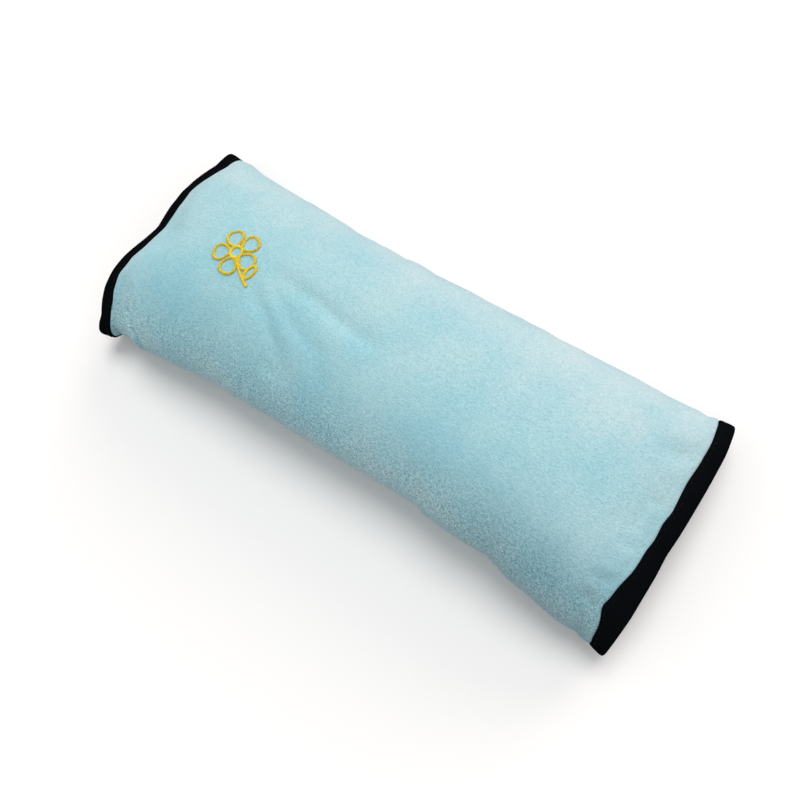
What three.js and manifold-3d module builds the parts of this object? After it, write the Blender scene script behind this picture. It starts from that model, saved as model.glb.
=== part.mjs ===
// Seat belt shoulder pad. One sheet of plush wraps right round: its front is stuffed against an inner lining,
// and its two flaps meet underneath on hook and loop tape, so that the belt runs between the lining and the
// flaps. The raw ends of the sheet are bound in folded tape, and a small flower is embroidered near one end.
//
// Millimetres. X runs along the belt, Y across it, and Z is up from the surface that the pad lies on. The
// origin is at the centre of the underside.
import * as THREE from 'three';
import { mergeVertices } from 'three/addons/utils/BufferGeometryUtils.js';
import Module from 'manifold-3d';

const wasm = await Module();
wasm.setup();

// Overall form
const padLength = 285; // over the folds of both bindings
const waistWidth = 94; // across the stuffed middle
const endWidth = 114; // across either end, where the tube is pressed flatter
const padHeight = 60; // floor to crown, half way along
const endCrown = 31; // floor to the front face, at the middle of an end
const sideHeight = 24; // height of the widest line, half way along
const cornerHeight = 13; // height of the widest line at the ends
const cornerPull = 2; // how far the corners sit back from the middle of an end
const leftEndSway = 3; // how far the left end wanders, out on the near half and in on the far half
const swayShift = 0.12; // of the half width, from the middle to where the sway crosses over
const swellPower = 5; // how suddenly the stuffing swells behind an end
const flarePower = 3; // how late the sides flare out towards an end
const pullPower = 4; // how near the end the pull and the sway stay
const archPower = 2.2; // 2 is an ellipse, and more is squarer

// How far the long edges stand out from the plain form, as a distance from the middle of the pad and a stand-off
const farEdge = [
  [-126, 0], [-114, -1], [-78, 0.4], [-44, -0.4], [-20, 0.4], [-4, -0.9], [30, 0.5], [60, 1], [76, 0.8],
  [120, -0.5], [132, 0],
];
const nearEdge = [
  [-132, 0], [-126, -2.6], [-118, 0], [-94, 0.4], [-70, -0.4], [-46, 0.7], [-8, 0.4], [20, -0.8], [38, -2],
  [54, 0.1], [68, -0.3], [78, -1.3], [92, 0.8], [118, 1.2], [127, -0.8], [132, 0],
];

// Soft folds of the front, each from one place to another, as distances along and across the pad
const foldWidth = 6; // from the bottom of a fold to where it fades out
const folds = [
  { from: [-58, -11], to: [-33, -31], depth: 1 },
  { from: [-53, -4], to: [-22, -17], depth: 0.6 },
  { from: [-54, 3], to: [-6, -2], depth: 0.9 },
];

// Sheets and their clearances
const plushThickness = 2.4;
const liningThickness = 0.9;
const seat = 0.3; // between pieces that are sewn or pressed together

// Flaps and their closure
const flatHalf = 26; // half the width of the flat that the flaps lie on
const flapOverlap = 40;
const closureWidth = 25;
const hookThickness = 1.2;
const loopThickness = 1.2;
const closureSetback = 2; // closure tape to binding
const beltRoom = 8; // flap to lining, half way along
const liningDish = 4; // how late the lining rises to the sides
const liningRise = 7; // how late the lining rises to the ends
const liningEdge = 10; // degrees of the front arch left below the lining's sewn edge

// Bindings
const tapeWidth = 10; // what shows on each face
const tapeThickness = 0.8;

// Filling
const fillingEdge = 18; // degrees of the front arch left outside the filling
const fillingSetback = 9; // binding to the end of the filling

// Embroidered flower
const flowerX = -80;
const flowerY = 3;
const flowerTurn = 42; // degrees from +X, counterclockwise, to the flower's own right
const petalCount = 5;
const petalReach = 11; // centre of the flower to the tip of a petal
const petalBreadth = 7.6;
const petalNeck = 0.3; // of a petal's length, from its root to where it opens out
const eyeRadius = 2.8; // to the middle of the ring's thread
const stemLength = 15;
const stemBend = 3;
const leafLength = 8;
const leafBreadth = 3.6;
const leafPlace = 0.75; // share of the stem from the ring to the leaf
const leafAngle = Math.PI / 5;
const threadWidth = 1.4;
const threadHeight = 0.9;

// Facets
const archSteps = 20;
const turnSteps = 5;
const flapSteps = 2;
const ringSteps = 12;
const petalSteps = 16;
const stemSteps = 8;
const swellStart = 84; // middle of the pad to where the form begins to change fast
const middleGap = 10.5; // between sections up to there
const endGap = 6; // between sections from there on

const halfLength = padLength / 2;
const flapRise = plushThickness + hookThickness + loopThickness + 3 * seat;
const liningDepth = plushThickness + seat;
const bindingStart = halfLength - tapeWidth;
const gripStart = bindingStart - seat;
const sheetEnd = halfLength - tapeThickness - seat;
const lerp = THREE.MathUtils.lerp;
const radians = THREE.MathUtils.degToRad;

// A table of pairs read at a place between them.
function readTable(table, at) {
  const after = table.findIndex(([place]) => place >= at);
  if (after < 0) return table.at(-1)[1];
  if (after === 0) return table[0][1];
  const [[from, low], [to, high]] = [table[after - 1], table[after]];
  return lerp(low, high, (at - from) / (to - from));
}

// The section's half widths on the far and near sides, its widest line and its crown, at a distance s from the
// middle of the pad.
function form(s) {
  const u = Math.abs(s) / halfLength;
  const flare = u ** flarePower;
  const half = lerp(waistWidth, endWidth, flare) / 2;
  return {
    far: half + readTable(farEdge, s),
    near: half + readTable(nearEdge, s),
    side: lerp(sideHeight, cornerHeight, flare),
    crown: lerp(padHeight, endCrown, u ** swellPower),
  };
}

// The cosine and sine of a rounded-off ellipse.
function archCos(angle) {
  return Math.sign(Math.cos(angle)) * Math.abs(Math.cos(angle)) ** (2 / archPower);
}

function archSin(angle) {
  return Math.abs(Math.sin(angle)) ** (2 / archPower);
}

// The section's legs, from the free edge of the lower flap, round the front, to that of the upper flap. Each
// gives [y, z] at a share t of its way, and at a depth in from the outer face of the plush.
const legs = {
  lowerFlap: (f, t, depth) => [lerp(-flapOverlap / 2, flatHalf, t), depth],
  farTurn: (f, t, depth) => [
    flatHalf + (f.far - depth - flatHalf) * Math.sin((t * Math.PI) / 2),
    f.side - (f.side - depth) * Math.cos((t * Math.PI) / 2),
  ],
  front: (f, t, depth) => [
    ((t < 0.5 ? f.far : f.near) - depth) * archCos(t * Math.PI),
    f.side + (f.crown - f.side - depth) * archSin(t * Math.PI),
  ],
  nearTurn: (f, t, depth) => [
    -flatHalf - (f.near - depth - flatHalf) * Math.cos((t * Math.PI) / 2),
    f.side - (f.side - flapRise - depth) * Math.sin((t * Math.PI) / 2),
  ],
  upperFlap: (f, t, depth) => [lerp(-flatHalf, flapOverlap / 2, t), flapRise + depth],
};

function stepsOf(leg, count) {
  return Array.from({ length: count + 1 }, (_, i) => ({ leg, t: i / count }));
}

// The front's own steps, but stopping some degrees short of the widest line on either side.
function frontWithin(edge) {
  const from = edge / 180;
  const within = stepsOf('front', archSteps).filter(({ t }) => t > from && t < 1 - from);
  return [{ leg: 'front', t: from }, ...within, { leg: 'front', t: 1 - from }];
}

const wholeSheet = [
  ...stepsOf('lowerFlap', flapSteps),
  ...stepsOf('farTurn', turnSteps).slice(1),
  ...stepsOf('front', archSteps).slice(1),
  ...stepsOf('nearTurn', turnSteps).slice(1),
  ...stepsOf('upperFlap', flapSteps).slice(1),
];

// How far along X a point moves at a share of the half width: an end's corners sit back, and the left end
// wanders.
function endShift(s, across) {
  const nearEnd = (Math.abs(s) / halfLength) ** pullPower;
  const pull = -Math.sign(s) * cornerPull * across ** 2;
  const sway = s < 0 ? leftEndSway * Math.sin(Math.PI * (across + swayShift)) : 0;
  return (pull + sway) * nearEnd;
}

// How deep the front's folds are at a place along and across the pad.
function foldDepth(s, y) {
  const place = new THREE.Vector3(s, y, 0);
  return folds.reduce((sum, { from, to, depth }) => {
    const line = new THREE.Line3(new THREE.Vector3(...from, 0), new THREE.Vector3(...to, 0));
    const away = line.closestPointToPoint(place, true, new THREE.Vector3()).distanceTo(place);
    return sum + depth * Math.exp(-((away / foldWidth) ** 2));
  }, 0);
}

// A point of the section at s. All plies shift together, by where the step is on the outer face, and sink
// together into the folds.
function pointAt(step, s, depth) {
  const f = form(s);
  const outerY = legs[step.leg](f, step.t, 0)[0];
  const sunk = step.leg === 'front' ? foldDepth(s, outerY) * archSin(step.t * Math.PI) : 0;
  const [y, z] = legs[step.leg](f, step.t, depth + sunk);
  return new THREE.Vector3(s + endShift(s, outerY / (outerY > 0 ? f.far : f.near)), y, z);
}

// Even distances from one to another, without the last.
function spread(from, to, gap) {
  const count = Math.max(1, Math.round((to - from) / gap));
  return Array.from({ length: count }, (_, i) => lerp(from, to, i / count));
}

// Where the long sheets have their sections, as distances from the middle of the pad, left to right. They
// share them, so that the clearances between them hold all the way.
const halfStations = [
  ...spread(0, swellStart, middleGap),
  ...spread(swellStart, gripStart - seat, endGap),
  gripStart - seat,
  gripStart,
  sheetEnd,
];
const sheetStations = [...halfStations.slice(1).reverse().map((s) => -s), ...halfStations];

// A closed solid lofted through sections. Each section is a pair of lines, one on either face of the sheet,
// with as many points in one as in the other. Both faces are cut into triangles along the same diagonals, and
// otherWay(k) says whether the strip after the k-th point takes the other one.
function loftSheet(sections, otherWay = () => false) {
  const count = sections[0].outer.length;
  const ring = 2 * count;
  const points = sections.flatMap(({ outer, inner }) => [...outer, ...inner.slice().reverse()]);
  const index = [];
  const quad = (a, b, c, d) => index.push(a, b, c, a, c, d);
  for (let i = 0; i + 1 < sections.length; i++) {
    for (let k = 0; k < ring; k++) {
      const here = i * ring + k;
      const beside = i * ring + ((k + 1) % ring);
      const strip = k < count ? k : ring - 2 - k;
      if (otherWay(strip) === k < count) quad(beside, beside + ring, here + ring, here);
      else quad(here, beside, beside + ring, here + ring);
    }
  }
  const last = (sections.length - 1) * ring;
  for (let k = 0; k + 1 < count; k++) {
    quad(k, ring - 1 - k, ring - 2 - k, k + 1);
    quad(last + k, last + k + 1, last + ring - 2 - k, last + ring - 1 - k);
  }
  const geometry = new THREE.BufferGeometry().setFromPoints(points);
  geometry.setIndex(index);
  geometry.computeVertexNormals();
  return geometry;
}

// The plush sheet, pressed thinner where the bindings grip it so that they lie flush.
function makeCover() {
  return loftSheet(sheetStations.map((s) => {
    const depth = Math.abs(s) < gripStart ? 0 : tapeThickness + seat;
    return {
      outer: wholeSheet.map((step) => pointAt(step, s, depth)),
      inner: wholeSheet.map((step) => pointAt(step, s, plushThickness)),
    };
  }));
}

// How far the lining has risen from its dished middle to the front's own arch.
function liningShare(s) {
  return Math.min(1, (Math.abs(s) / (gripStart - seat)) ** liningRise);
}

// One face of the lining: 0 is the face on the filling, and liningThickness the one on the belt.
function liningPoint(step, s, below) {
  const f = form(s);
  const across = archCos(step.t * Math.PI) / archCos(radians(liningEdge));
  const lowest = flapRise + plushThickness + beltRoom + liningThickness;
  const dish = new THREE.Vector3(
    pointAt(step, s, liningDepth).x,
    ((across > 0 ? f.far : f.near) - liningDepth - below) * across,
    lerp(lowest, f.side, Math.abs(across) ** liningDish) - below,
  );
  return dish.lerp(pointAt(step, s, liningDepth + below), liningShare(s));
}

function makeLining() {
  const steps = frontWithin(liningEdge);
  const section = (s) => ({
    outer: steps.map((step) => liningPoint(step, s, 0)),
    inner: steps.map((step) => liningPoint(step, s, liningThickness)),
  });
  return loftSheet(sheetStations.map(section));
}

// The filling, between the front and the lining.
function makeFilling() {
  const steps = frontWithin(fillingEdge);
  const section = (s) => ({
    outer: steps.map((step) => pointAt(step, s, liningDepth)),
    inner: steps.map((step) => liningPoint(step, s, -seat)),
  });
  return loftSheet(sheetStations.filter((s) => Math.abs(s) < bindingStart - fillingSetback).map(section));
}

// Folded tape over one end of the sheet: side is -1 for the left end and 1 for the right. Its inner leaf goes
// under the lining too, all along the front.
function makeBinding(side) {
  const overLining = (step) => {
    if (step.leg === 'front') return 1;
    if (step.leg === 'farTurn') return step.t ** 2;
    if (step.leg === 'nearTurn') return (1 - step.t) ** 2;
    return 0;
  };
  const section = (step) => {
    const leaf = plushThickness + seat + (liningThickness + seat) * overLining(step);
    const at = (s, depth) => pointAt(step, side * s, depth);
    return {
      outer: [
        at(bindingStart, 0),
        at(halfLength, 0),
        at(halfLength, leaf + tapeThickness),
        at(bindingStart, leaf + tapeThickness),
      ],
      inner: [
        at(bindingStart, tapeThickness),
        at(halfLength - tapeThickness, tapeThickness),
        at(halfLength - tapeThickness, leaf),
        at(bindingStart, leaf),
      ],
    };
  };
  const along = side > 0 ? wholeSheet.slice().reverse() : wholeSheet;
  return loftSheet(along.map(section), (strip) => strip === 0);
}

// A strip of closure tape on the flaps' flat, from one binding to the other.
function makeClosure(thickness, bottom) {
  const long = 2 * (bindingStart - closureSetback);
  return new THREE.BoxGeometry(long, closureWidth, thickness).translate(0, 0, bottom + thickness / 2);
}

// A band of thread along a curve in the flower's own plane, closed on itself unless it is said to have ends.
function threadBand(curve, divisions, closed = true) {
  const points = curve.getSpacedPoints(divisions).slice(0, closed ? divisions : divisions + 1);
  const last = points.length - 1;
  const near = (i) => points.at(closed ? i % divisions : THREE.MathUtils.clamp(i, 0, last));
  const side = (offset) => points.map((p, i) => {
    const along = near(i + 1).clone().sub(near(i - 1)).normalize();
    return new THREE.Vector2(p.x + along.y * offset, p.y - along.x * offset);
  });
  const right = side(threadWidth / 2);
  const left = side(-threadWidth / 2).reverse();
  const band = new THREE.Shape(closed ? right : [...right, ...left]);
  if (closed) band.holes.push(new THREE.Path(left));
  return new THREE.ExtrudeGeometry(band, { depth: threadHeight, bevelEnabled: false });
}

function solidOf(geometry) {
  const bare = geometry.clone();
  bare.deleteAttribute('normal');
  bare.deleteAttribute('uv');
  const merged = mergeVertices(bare);
  return new wasm.Manifold(new wasm.Mesh({
    numProp: 3,
    vertProperties: new Float32Array(merged.attributes.position.array),
    triVerts: new Uint32Array(merged.index.array),
  }));
}

// A rounded petal or leaf: out along one side and back along the other.
function petalCurve(from, reach, breadth, angle) {
  const turn = (x, y) => new THREE.Vector2(x, y).rotateAround(new THREE.Vector2(), angle).add(from);
  const path = new THREE.CurvePath();
  const broad = (breadth * 2) / 3;
  const neck = reach * petalNeck;
  path.add(new THREE.CubicBezierCurve(turn(0, 0), turn(neck, -broad), turn(reach, -broad), turn(reach, 0)));
  path.add(new THREE.CubicBezierCurve(turn(reach, 0), turn(reach, broad), turn(neck, broad), turn(0, 0)));
  return path;
}

// The flower in its own plane: petals round a ring, on a bent stem with one leaf.
function flowerBands() {
  const bands = [threadBand(new THREE.EllipseCurve(0, 0, eyeRadius, eyeRadius, 0, 2 * Math.PI), ringSteps)];
  for (let i = 0; i < petalCount; i++) {
    const angle = Math.PI / 2 + (i * 2 * Math.PI) / petalCount;
    const from = new THREE.Vector2(eyeRadius, 0).rotateAround(new THREE.Vector2(), angle);
    bands.push(threadBand(petalCurve(from, petalReach - eyeRadius, petalBreadth, angle), petalSteps));
  }
  const foot = new THREE.Vector2(stemBend, -eyeRadius - stemLength);
  const middle = new THREE.Vector2(0, -eyeRadius - stemLength / 2);
  const stem = new THREE.QuadraticBezierCurve(new THREE.Vector2(0, -eyeRadius), middle, foot);
  bands.push(threadBand(stem, stemSteps, false));
  const leaf = petalCurve(stem.getPoint(leafPlace), leafLength, leafBreadth, leafAngle);
  bands.push(threadBand(leaf, petalSteps));
  return bands;
}

// The flower as one solid, turned and laid on the front.
function makeFlower() {
  const joined = flowerBands().map(solidOf).reduce((all, band) => all.add(band)).getMesh();
  const turn = radians(flowerTurn);
  const positions = [];
  for (let i = 0; i < joined.numVert; i++) {
    const [a, b, lift] = joined.vertProperties.slice(i * joined.numProp, i * joined.numProp + 3);
    const s = flowerX + a * Math.cos(turn) - b * Math.sin(turn);
    const y = flowerY + a * Math.sin(turn) + b * Math.cos(turn);
    const f = form(s);
    const across = y / (y > 0 ? f.far : f.near);
    const arch = (1 - Math.abs(across) ** archPower) ** (1 / archPower);
    const top = f.side + (f.crown - f.side - foldDepth(s, y) * arch) * arch;
    positions.push(s + endShift(s, across), y, top + seat + lift);
  }
  const geometry = new THREE.BufferGeometry();
  geometry.setAttribute('position', new THREE.Float32BufferAttribute(positions, 3));
  geometry.setIndex(Array.from(joined.triVerts));
  geometry.computeVertexNormals();
  return geometry;
}

const plush = new THREE.MeshStandardMaterial({ color: 0xa5d0d8, roughness: 0.95, metalness: 0 });
const lining = new THREE.MeshStandardMaterial({ color: 0xb9d6db, roughness: 0.9, metalness: 0 });
const fibre = new THREE.MeshStandardMaterial({ color: 0xf2f2ee, roughness: 1, metalness: 0 });
const blackTape = new THREE.MeshStandardMaterial({ color: 0x121416, roughness: 0.85, metalness: 0 });
const blackHook = new THREE.MeshStandardMaterial({ color: 0x17181a, roughness: 0.6, metalness: 0 });
const yellowThread = new THREE.MeshStandardMaterial({ color: 0xe9c92e, roughness: 0.5, metalness: 0 });

const pad = new THREE.Group();

function addPiece(name, geometry, material) {
  const mesh = new THREE.Mesh(geometry, material);
  mesh.name = name;
  pad.add(mesh);
}

addPiece('plush_cover', makeCover(), plush);
addPiece('pocket_lining', makeLining(), lining);
addPiece('fibre_filling', makeFilling(), fibre);
addPiece('left_end_binding', makeBinding(-1), blackTape);
addPiece('right_end_binding', makeBinding(1), blackTape);
addPiece('hook_tape', makeClosure(hookThickness, plushThickness + seat), blackHook);
addPiece('loop_tape', makeClosure(loopThickness, plushThickness + hookThickness + 2 * seat), blackTape);
addPiece('flower_embroidery', makeFlower(), yellowThread);

export default pad;
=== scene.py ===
"""Seat belt shoulder pad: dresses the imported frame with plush, stuffing, lining, tape and embroidery.

Metres. X runs along the belt, Y across it, and Z is up from the surface that the pad lies on.
"""
import functools
import math

import bmesh
import bpy
import numpy as np
from bpy.props import FloatProperty, FloatVectorProperty, IntProperty, PointerProperty
from mathutils import Matrix


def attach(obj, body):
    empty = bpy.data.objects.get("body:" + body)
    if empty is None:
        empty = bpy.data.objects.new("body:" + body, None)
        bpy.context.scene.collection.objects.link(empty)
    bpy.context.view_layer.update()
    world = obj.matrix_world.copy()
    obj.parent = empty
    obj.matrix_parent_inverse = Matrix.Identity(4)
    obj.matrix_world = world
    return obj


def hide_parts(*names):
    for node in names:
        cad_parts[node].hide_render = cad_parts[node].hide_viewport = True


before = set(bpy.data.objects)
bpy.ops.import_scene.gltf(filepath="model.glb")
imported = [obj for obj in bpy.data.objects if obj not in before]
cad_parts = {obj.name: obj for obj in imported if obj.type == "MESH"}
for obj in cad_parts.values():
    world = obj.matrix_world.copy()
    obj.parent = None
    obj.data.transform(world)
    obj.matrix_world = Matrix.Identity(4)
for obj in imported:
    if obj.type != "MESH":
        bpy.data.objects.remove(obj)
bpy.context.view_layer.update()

bl_info = {
    "name": "Seat Belt Shoulder Pad",
    "version": (1, 0, 0),
    "blender": (4, 5, 0),
    "location": "3D View > Sidebar > Shoulder Pad",
    "description": "Makes a stuffed plush shoulder pad with bound ends on its packed frame",
    "category": "Object",
}

MM = 0.001

# Measured along the ends: the place across the pad, and how far out the fold of the tape wanders there.
LEFT_WANDER = (
    (-57, -0.4), (-50, -2.2), (-44, -0.4), (-38, 1.0), (-29, 1.5), (-20, 0.8), (-14, -0.4), (-8, -1.6),
    (0, -2.4), (6, -0.8), (12, 0.6), (22, 1.5), (30, 0.6), (35, -0.5), (44, -3.0), (50, -2.6),
    (57, -1.4),
)
RIGHT_WANDER = (
    (-57, 0), (-40, 0), (-30, -0.5), (-20, -0.8), (-10, -1.5), (0, -1.0), (14, -0.7), (42, 0),
    (57, -0.7),
)

# The place across the pad, and how far out the inner edge of the tape lies from its plain width there.
LEFT_NARROWING = (
    (-57, 1.4), (-53, 1.4), (-50, 2.2), (-46, 1.4), (-42, 0.1), (-35, 0.6), (-30, 1.6), (-24, 0.5),
    (-20, 0.8), (-13, -0.2), (-8, 0.8), (0, 0.5), (8, -1.2), (17, -1.5), (24, -0.6), (34, -1.8),
    (41, -1.0), (48, 0), (57, 0),
)
RIGHT_NARROWING = (
    (-57, 2.7), (-53, 1.8), (-47, 0.5), (-44, -1.2), (-42, -2.5), (-38, -1.5), (-33, -0.9), (-29, 0.1),
    (-24, 1.0), (-15, 1.7), (-9, 2.5), (-1, 1.7), (5, 2.4), (13, 1.7), (19, 1.4), (30, 2.1), (38, 2.1),
    (57, 1.5),
)

# The place along the pad, and how far out its long edges stand from the plain form there.
NEAR_EDGE = (
    (-132, 0), (-126, -2.6), (-118, 0), (-94, 0.4), (-70, -0.4), (-46, 0.7), (-8, 0.4), (20, -0.8),
    (38, -2), (54, 0.1), (68, -0.3), (78, -1.3), (92, 0.8), (118, 1.2), (127, -0.8), (132, 0),
)
FAR_EDGE = (
    (-126, 0), (-114, -1), (-78, 0.4), (-44, -0.4), (-20, 0.4), (-4, -0.9), (30, 0.5), (60, 1),
    (76, 0.8), (120, -0.5), (132, 0),
)

# Soft folds of the front: from one place to another, along and across the pad, and how deep each is.
FOLD_WIDTH = 6
FOLDS = (((-58, -11), (-33, -31), 1), ((-53, -4), (-22, -17), 0.6), ((-54, 3), (-6, -2), 0.9))

# How the pile's colour shifts across the sheet, by the distance from its middle line in millimetres: partly its
# own tone, partly painted light, with a paler, pinker far side as a painted sheen and a lighter near edge.
BRUSHED_AND_PAINTED_ACROSS = (
    (-95, (0.82, 0.82, 0.82)), (-63, (1.0, 0.877, 0.852)), (-42, (0.934, 0.82, 0.791)),
    (-28, (0.844, 0.787, 0.770)), (-11, (0.82, 0.811, 0.795)), (3, (0.770, 0.811, 0.807)),
    (28, (0.754, 0.811, 0.82)), (42, (0.79, 0.838, 0.84)), (56, (0.91, 0.92, 0.91)),
    (95, (0.82, 0.82, 0.82)),
)

# Creases of the front, each as its points (along, across), how deep and how wide it is, all in millimetres.
CREASES = (
    (((-63, -6), (-58, -11), (-52, -14), (-46, -19), (-41, -23), (-37, -27), (-31, -32)), 0.45, 2.3),
    (((-59, 0), (-50, -5), (-45, -8), (-39, -12), (-32, -15), (-24, -16), (-18, -17)), 0.3, 2.4),
    (((-58, 4), (-48, 3), (-41, 2), (-34, 2), (-26, 0), (-19, -1), (-10, -2), (-1, -2)), 0.42, 2.6),
    (((-22, -20), (-16, -26)), 0.4, 3.2),
    (((-41, -32), (-32, -35)), 0.4, 2.8),
    (((-120, -33), (-120, -43), (-117, -47), (-115, -50), (-113, -52)), 2.4, 1.7),
    (((-53, -50), (-50, -45), (-47, -40)), 0.8, 2.0),
    (((-66, -49), (-63, -45)), 0.4, 1.8),
    (((38, -50), (43, -46), (45, -41)), 0.7, 2.4),
    (((79, -50), (82, -47), (83, -42)), 0.8, 1.8),
    (((127, -56), (127, -52), (125, -47)), 0.8, 1.8),
    (((133, 31), (128, 27), (119, 24)), 0.8, 3.6),
    (((133, 6), (128, 4), (124, 4)), 0.4, 2.0),
    (((133, -15), (128, -16), (124, -17)), 0.5, 2.0),
    (((132, -30), (127, -32), (121, -33)), 0.7, 2.2),
    (((131, -42), (126, -42), (120, -41)), 0.9, 2.2),
)


# Where the pile is ruffled and painted with shade between its tufts and highlights on their tips, by the
# distance from the sheet's middle line in metres: none, and all of it.
RUFFLED_AND_SHADED_NEAR = (0.014, 0.060)
RUFFLED_AND_SHADED_FAR = (-0.030, -0.064)
RUFFLED_AND_SHADED_FAR_SHARE = 0.4
RUFFLED_AND_SHADED_UNDERNEATH = (0.088, 0.062)

# Tints over the pile: across its random patches of brushing, painted light and shade from the left to the right
# end, and painted shade at the low right corner.
PATCH_TINTS = ((0.89, 0.965, 0.985), (1.10, 1.03, 1.01))
END_PAINTED_LIGHT = ((0.93, 0.97, 0.975), (1.05, 1.0, 1.0))
CORNER_PAINTED_SHADE = ((1.0, 1.0, 1.0), (0.67, 0.73, 0.75))
PILE_LIFT = 1.22

# How the sheet that is blown up for its puckers behaves, and how much of what it shows is kept.
BLOWN_CLOTH = {
    "quality": 5,
    "mass": 0.12,
    "tension_stiffness": 14,
    "compression_stiffness": 14,
    "shear_stiffness": 6,
    "bending_stiffness": 0.25,
    "shrink_min": -0.03,
    "use_pressure": True,
    "uniform_pressure_force": 4.0,
    "vertex_group_mass": "held",
}
BLOWN_FRAMES = 20
PUCKER_SHARE = 0.55
PUCKER_LIMIT = 1.0 * MM

# Selvedges of the closure tapes: how round, as a share of the thickness, and where, as a share of the width.
SELVEDGE_ROUNDING = 0.3
SELVEDGE_PLACE = 0.42

# A stitch is a short bent rod of this many sides and spans.
STITCH_SIDES = 5
STITCH_SPANS = 5

# The floor lies this far below the pad, so that the two faces don't flicker.
FLOOR_DROP = 0.2 * MM

# Where the camera stands, and which way its sides, its top and its back face.
CAMERA_PLACE = (0.11954224, -0.07606708, 0.40623733)
CAMERA_RIGHT = (0.82548318, 0.54627701, -0.14198223)
CAMERA_UP = (-0.49487938, 0.82146337, 0.28335901)
CAMERA_BACK = (0.27142571, -0.16364402, 0.94844542)
SENSOR_WIDTH = 36


def metres(name, description, default):
    return FloatProperty(name=name, description=description, default=default, unit="LENGTH")


def angle(name, description, degrees):
    return FloatProperty(name=name, description=description, default=math.radians(degrees), subtype="ANGLE")


def plain(name, description, default):
    return FloatProperty(name=name, description=description, default=default)


def colour(name, description, default):
    return FloatVectorProperty(
        name=name, description=description, default=default, size=3, subtype="COLOR", min=0, max=1
    )


class PadSizes(bpy.types.PropertyGroup):
    """The pad's form, the same as its frame's."""

    length: metres("Length", "Over the folds of both bindings", 0.285)
    waist: metres("Waist", "Across the stuffed middle", 0.094)
    end_width: metres("End width", "Across either end", 0.114)
    height: metres("Height", "Floor to crown at the middle", 0.060)
    end_crown: metres("End crown", "Floor to front at an end", 0.031)
    side_height: metres("Side height", "Widest line, half way", 0.024)
    corner_height: metres("Corner height", "Widest line, ends", 0.013)
    corner_pull: metres("Corner pull", "How far corners sit back", 0.002)
    sway: metres("Left end sway", "How far the left end wanders", 0.003)
    plush: metres("Plush", "Thickness of the plush", 0.0024)
    lining: metres("Lining", "Thickness of the lining", 0.0009)
    seat: metres("Seat", "Room between sewn pieces", 0.0003)
    flat_half: metres("Flat", "Half width of the flat", 0.026)
    overlap: metres("Overlap", "How far the flaps overlap", 0.040)
    closure_width: metres("Closure", "Width of the closure tapes", 0.025)
    closure: metres("Closure depth", "Thickness of either tape", 0.0012)
    belt_room: metres("Belt room", "Upper flap to lining", 0.008)
    tape_width: metres("Tape width", "Binding on either face", 0.010)
    tape: metres("Tape", "Thickness of the binding", 0.0008)
    thread: metres("Thread", "Diameter of the sewing thread", 0.0004)


class FlowerSizes(bpy.types.PropertyGroup):
    """The embroidered flower."""

    along: metres("Along", "Centre along the pad", -0.080)
    across: metres("Across", "Centre across the pad", 0.003)
    turn: angle("Turn", "Turn on the front", 42)
    petals: IntProperty(name="Petals", description="How many petals it has", default=5, min=3)
    reach: metres("Reach", "Centre to the tip of a petal", 0.011)
    breadth: metres("Breadth", "Across a petal", 0.0076)
    eye: metres("Eye", "Radius of the ring", 0.0028)
    stem: metres("Stem", "Length of the stem", 0.015)
    bend: metres("Bend", "How far the stem bends", 0.003)
    leaf: metres("Leaf", "Length of the leaf", 0.008)
    leaf_breadth: metres("Leaf breadth", "Across the leaf", 0.0036)
    band: metres("Band", "Width of a satin band", 0.0014)
    rise: metres("Rise", "Height of a satin band", 0.0009)


class PadColours(bpy.types.PropertyGroup):
    """Colours of the cloths and threads."""

    plush: colour("Plush", "Tips of the pile", (0.440, 0.700, 0.760))
    plush_root: colour("Plush root", "Between the tufts of the pile", (0.290, 0.540, 0.610))
    # The ruffled tufts' colours: painted shade between them and a painted highlight on their tips, for light
    # that grazes the pad's sides.
    plush_tuft_shade: colour("Plush deep", "Between the tufts where they are ruffled", (0.135, 0.350, 0.430))
    plush_lit: colour("Plush lit", "Tips of the tufts where they are ruffled", (0.545, 0.805, 0.865))
    lining: colour("Lining", "Lining cloth", (0.450, 0.660, 0.710))
    fibre: colour("Fibre", "Stuffing", (0.860, 0.860, 0.840))
    tape: colour("Tape", "Binding tape", (0.0035, 0.004, 0.005))
    hook: colour("Hook tape", "Hook tape", (0.010, 0.010, 0.011))
    loop: colour("Loop tape", "Loop tape", (0.008, 0.008, 0.009))
    thread: colour("Sewing thread", "Thread of the seams", (0.003, 0.0035, 0.004))
    yellow: colour("Embroidery", "Embroidery thread", (0.940, 0.760, 0.040))
    yellow_deep: colour("Embroidery, deep", "Between the strands", (0.760, 0.520, 0.022))


class StageSettings(bpy.types.PropertyGroup):
    """Floor, light and camera."""

    floor_size: metres("Floor", "Side of the floor", 6.0)
    ambient: plain("Ambient", "Strength of the surrounding light", 0.56)
    key: plain("Key", "Strength of the key lamp", 1.25)
    key_spread: angle("Key spread", "Apparent size of the key lamp", 32)
    side: plain("Side", "Strength of the side lamp", 1.2)
    side_spread: angle("Side spread", "Apparent size of the side lamp", 37)
    lens: plain("Lens", "Focal length in millimetres", 40.5)


def smooth(low, high, value):
    """0 below low, 1 above high and an even curve between."""
    share = np.clip((value - low) / (high - low), 0.0, 1.0)
    return share * share * (3.0 - 2.0 * share)


def window(rise, fall, value):
    """0 before the span rise, 1 after it, and 0 again after the span fall."""
    return smooth(*rise, value) * (1 - smooth(*fall, value))


def read_table(table, at, blur=1.5):
    """A table of millimetres read at places in metres, with its corners rounded off."""
    places, values = np.array(table, dtype=float).T
    offsets = np.linspace(-blur, blur, 5)
    weights = np.array([1.0, 3.0, 4.0, 3.0, 1.0]) / 12.0
    at = np.asarray(at) / MM
    return MM * sum(weight * np.interp(at + offset, places, values) for weight, offset in zip(weights, offsets))


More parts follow.
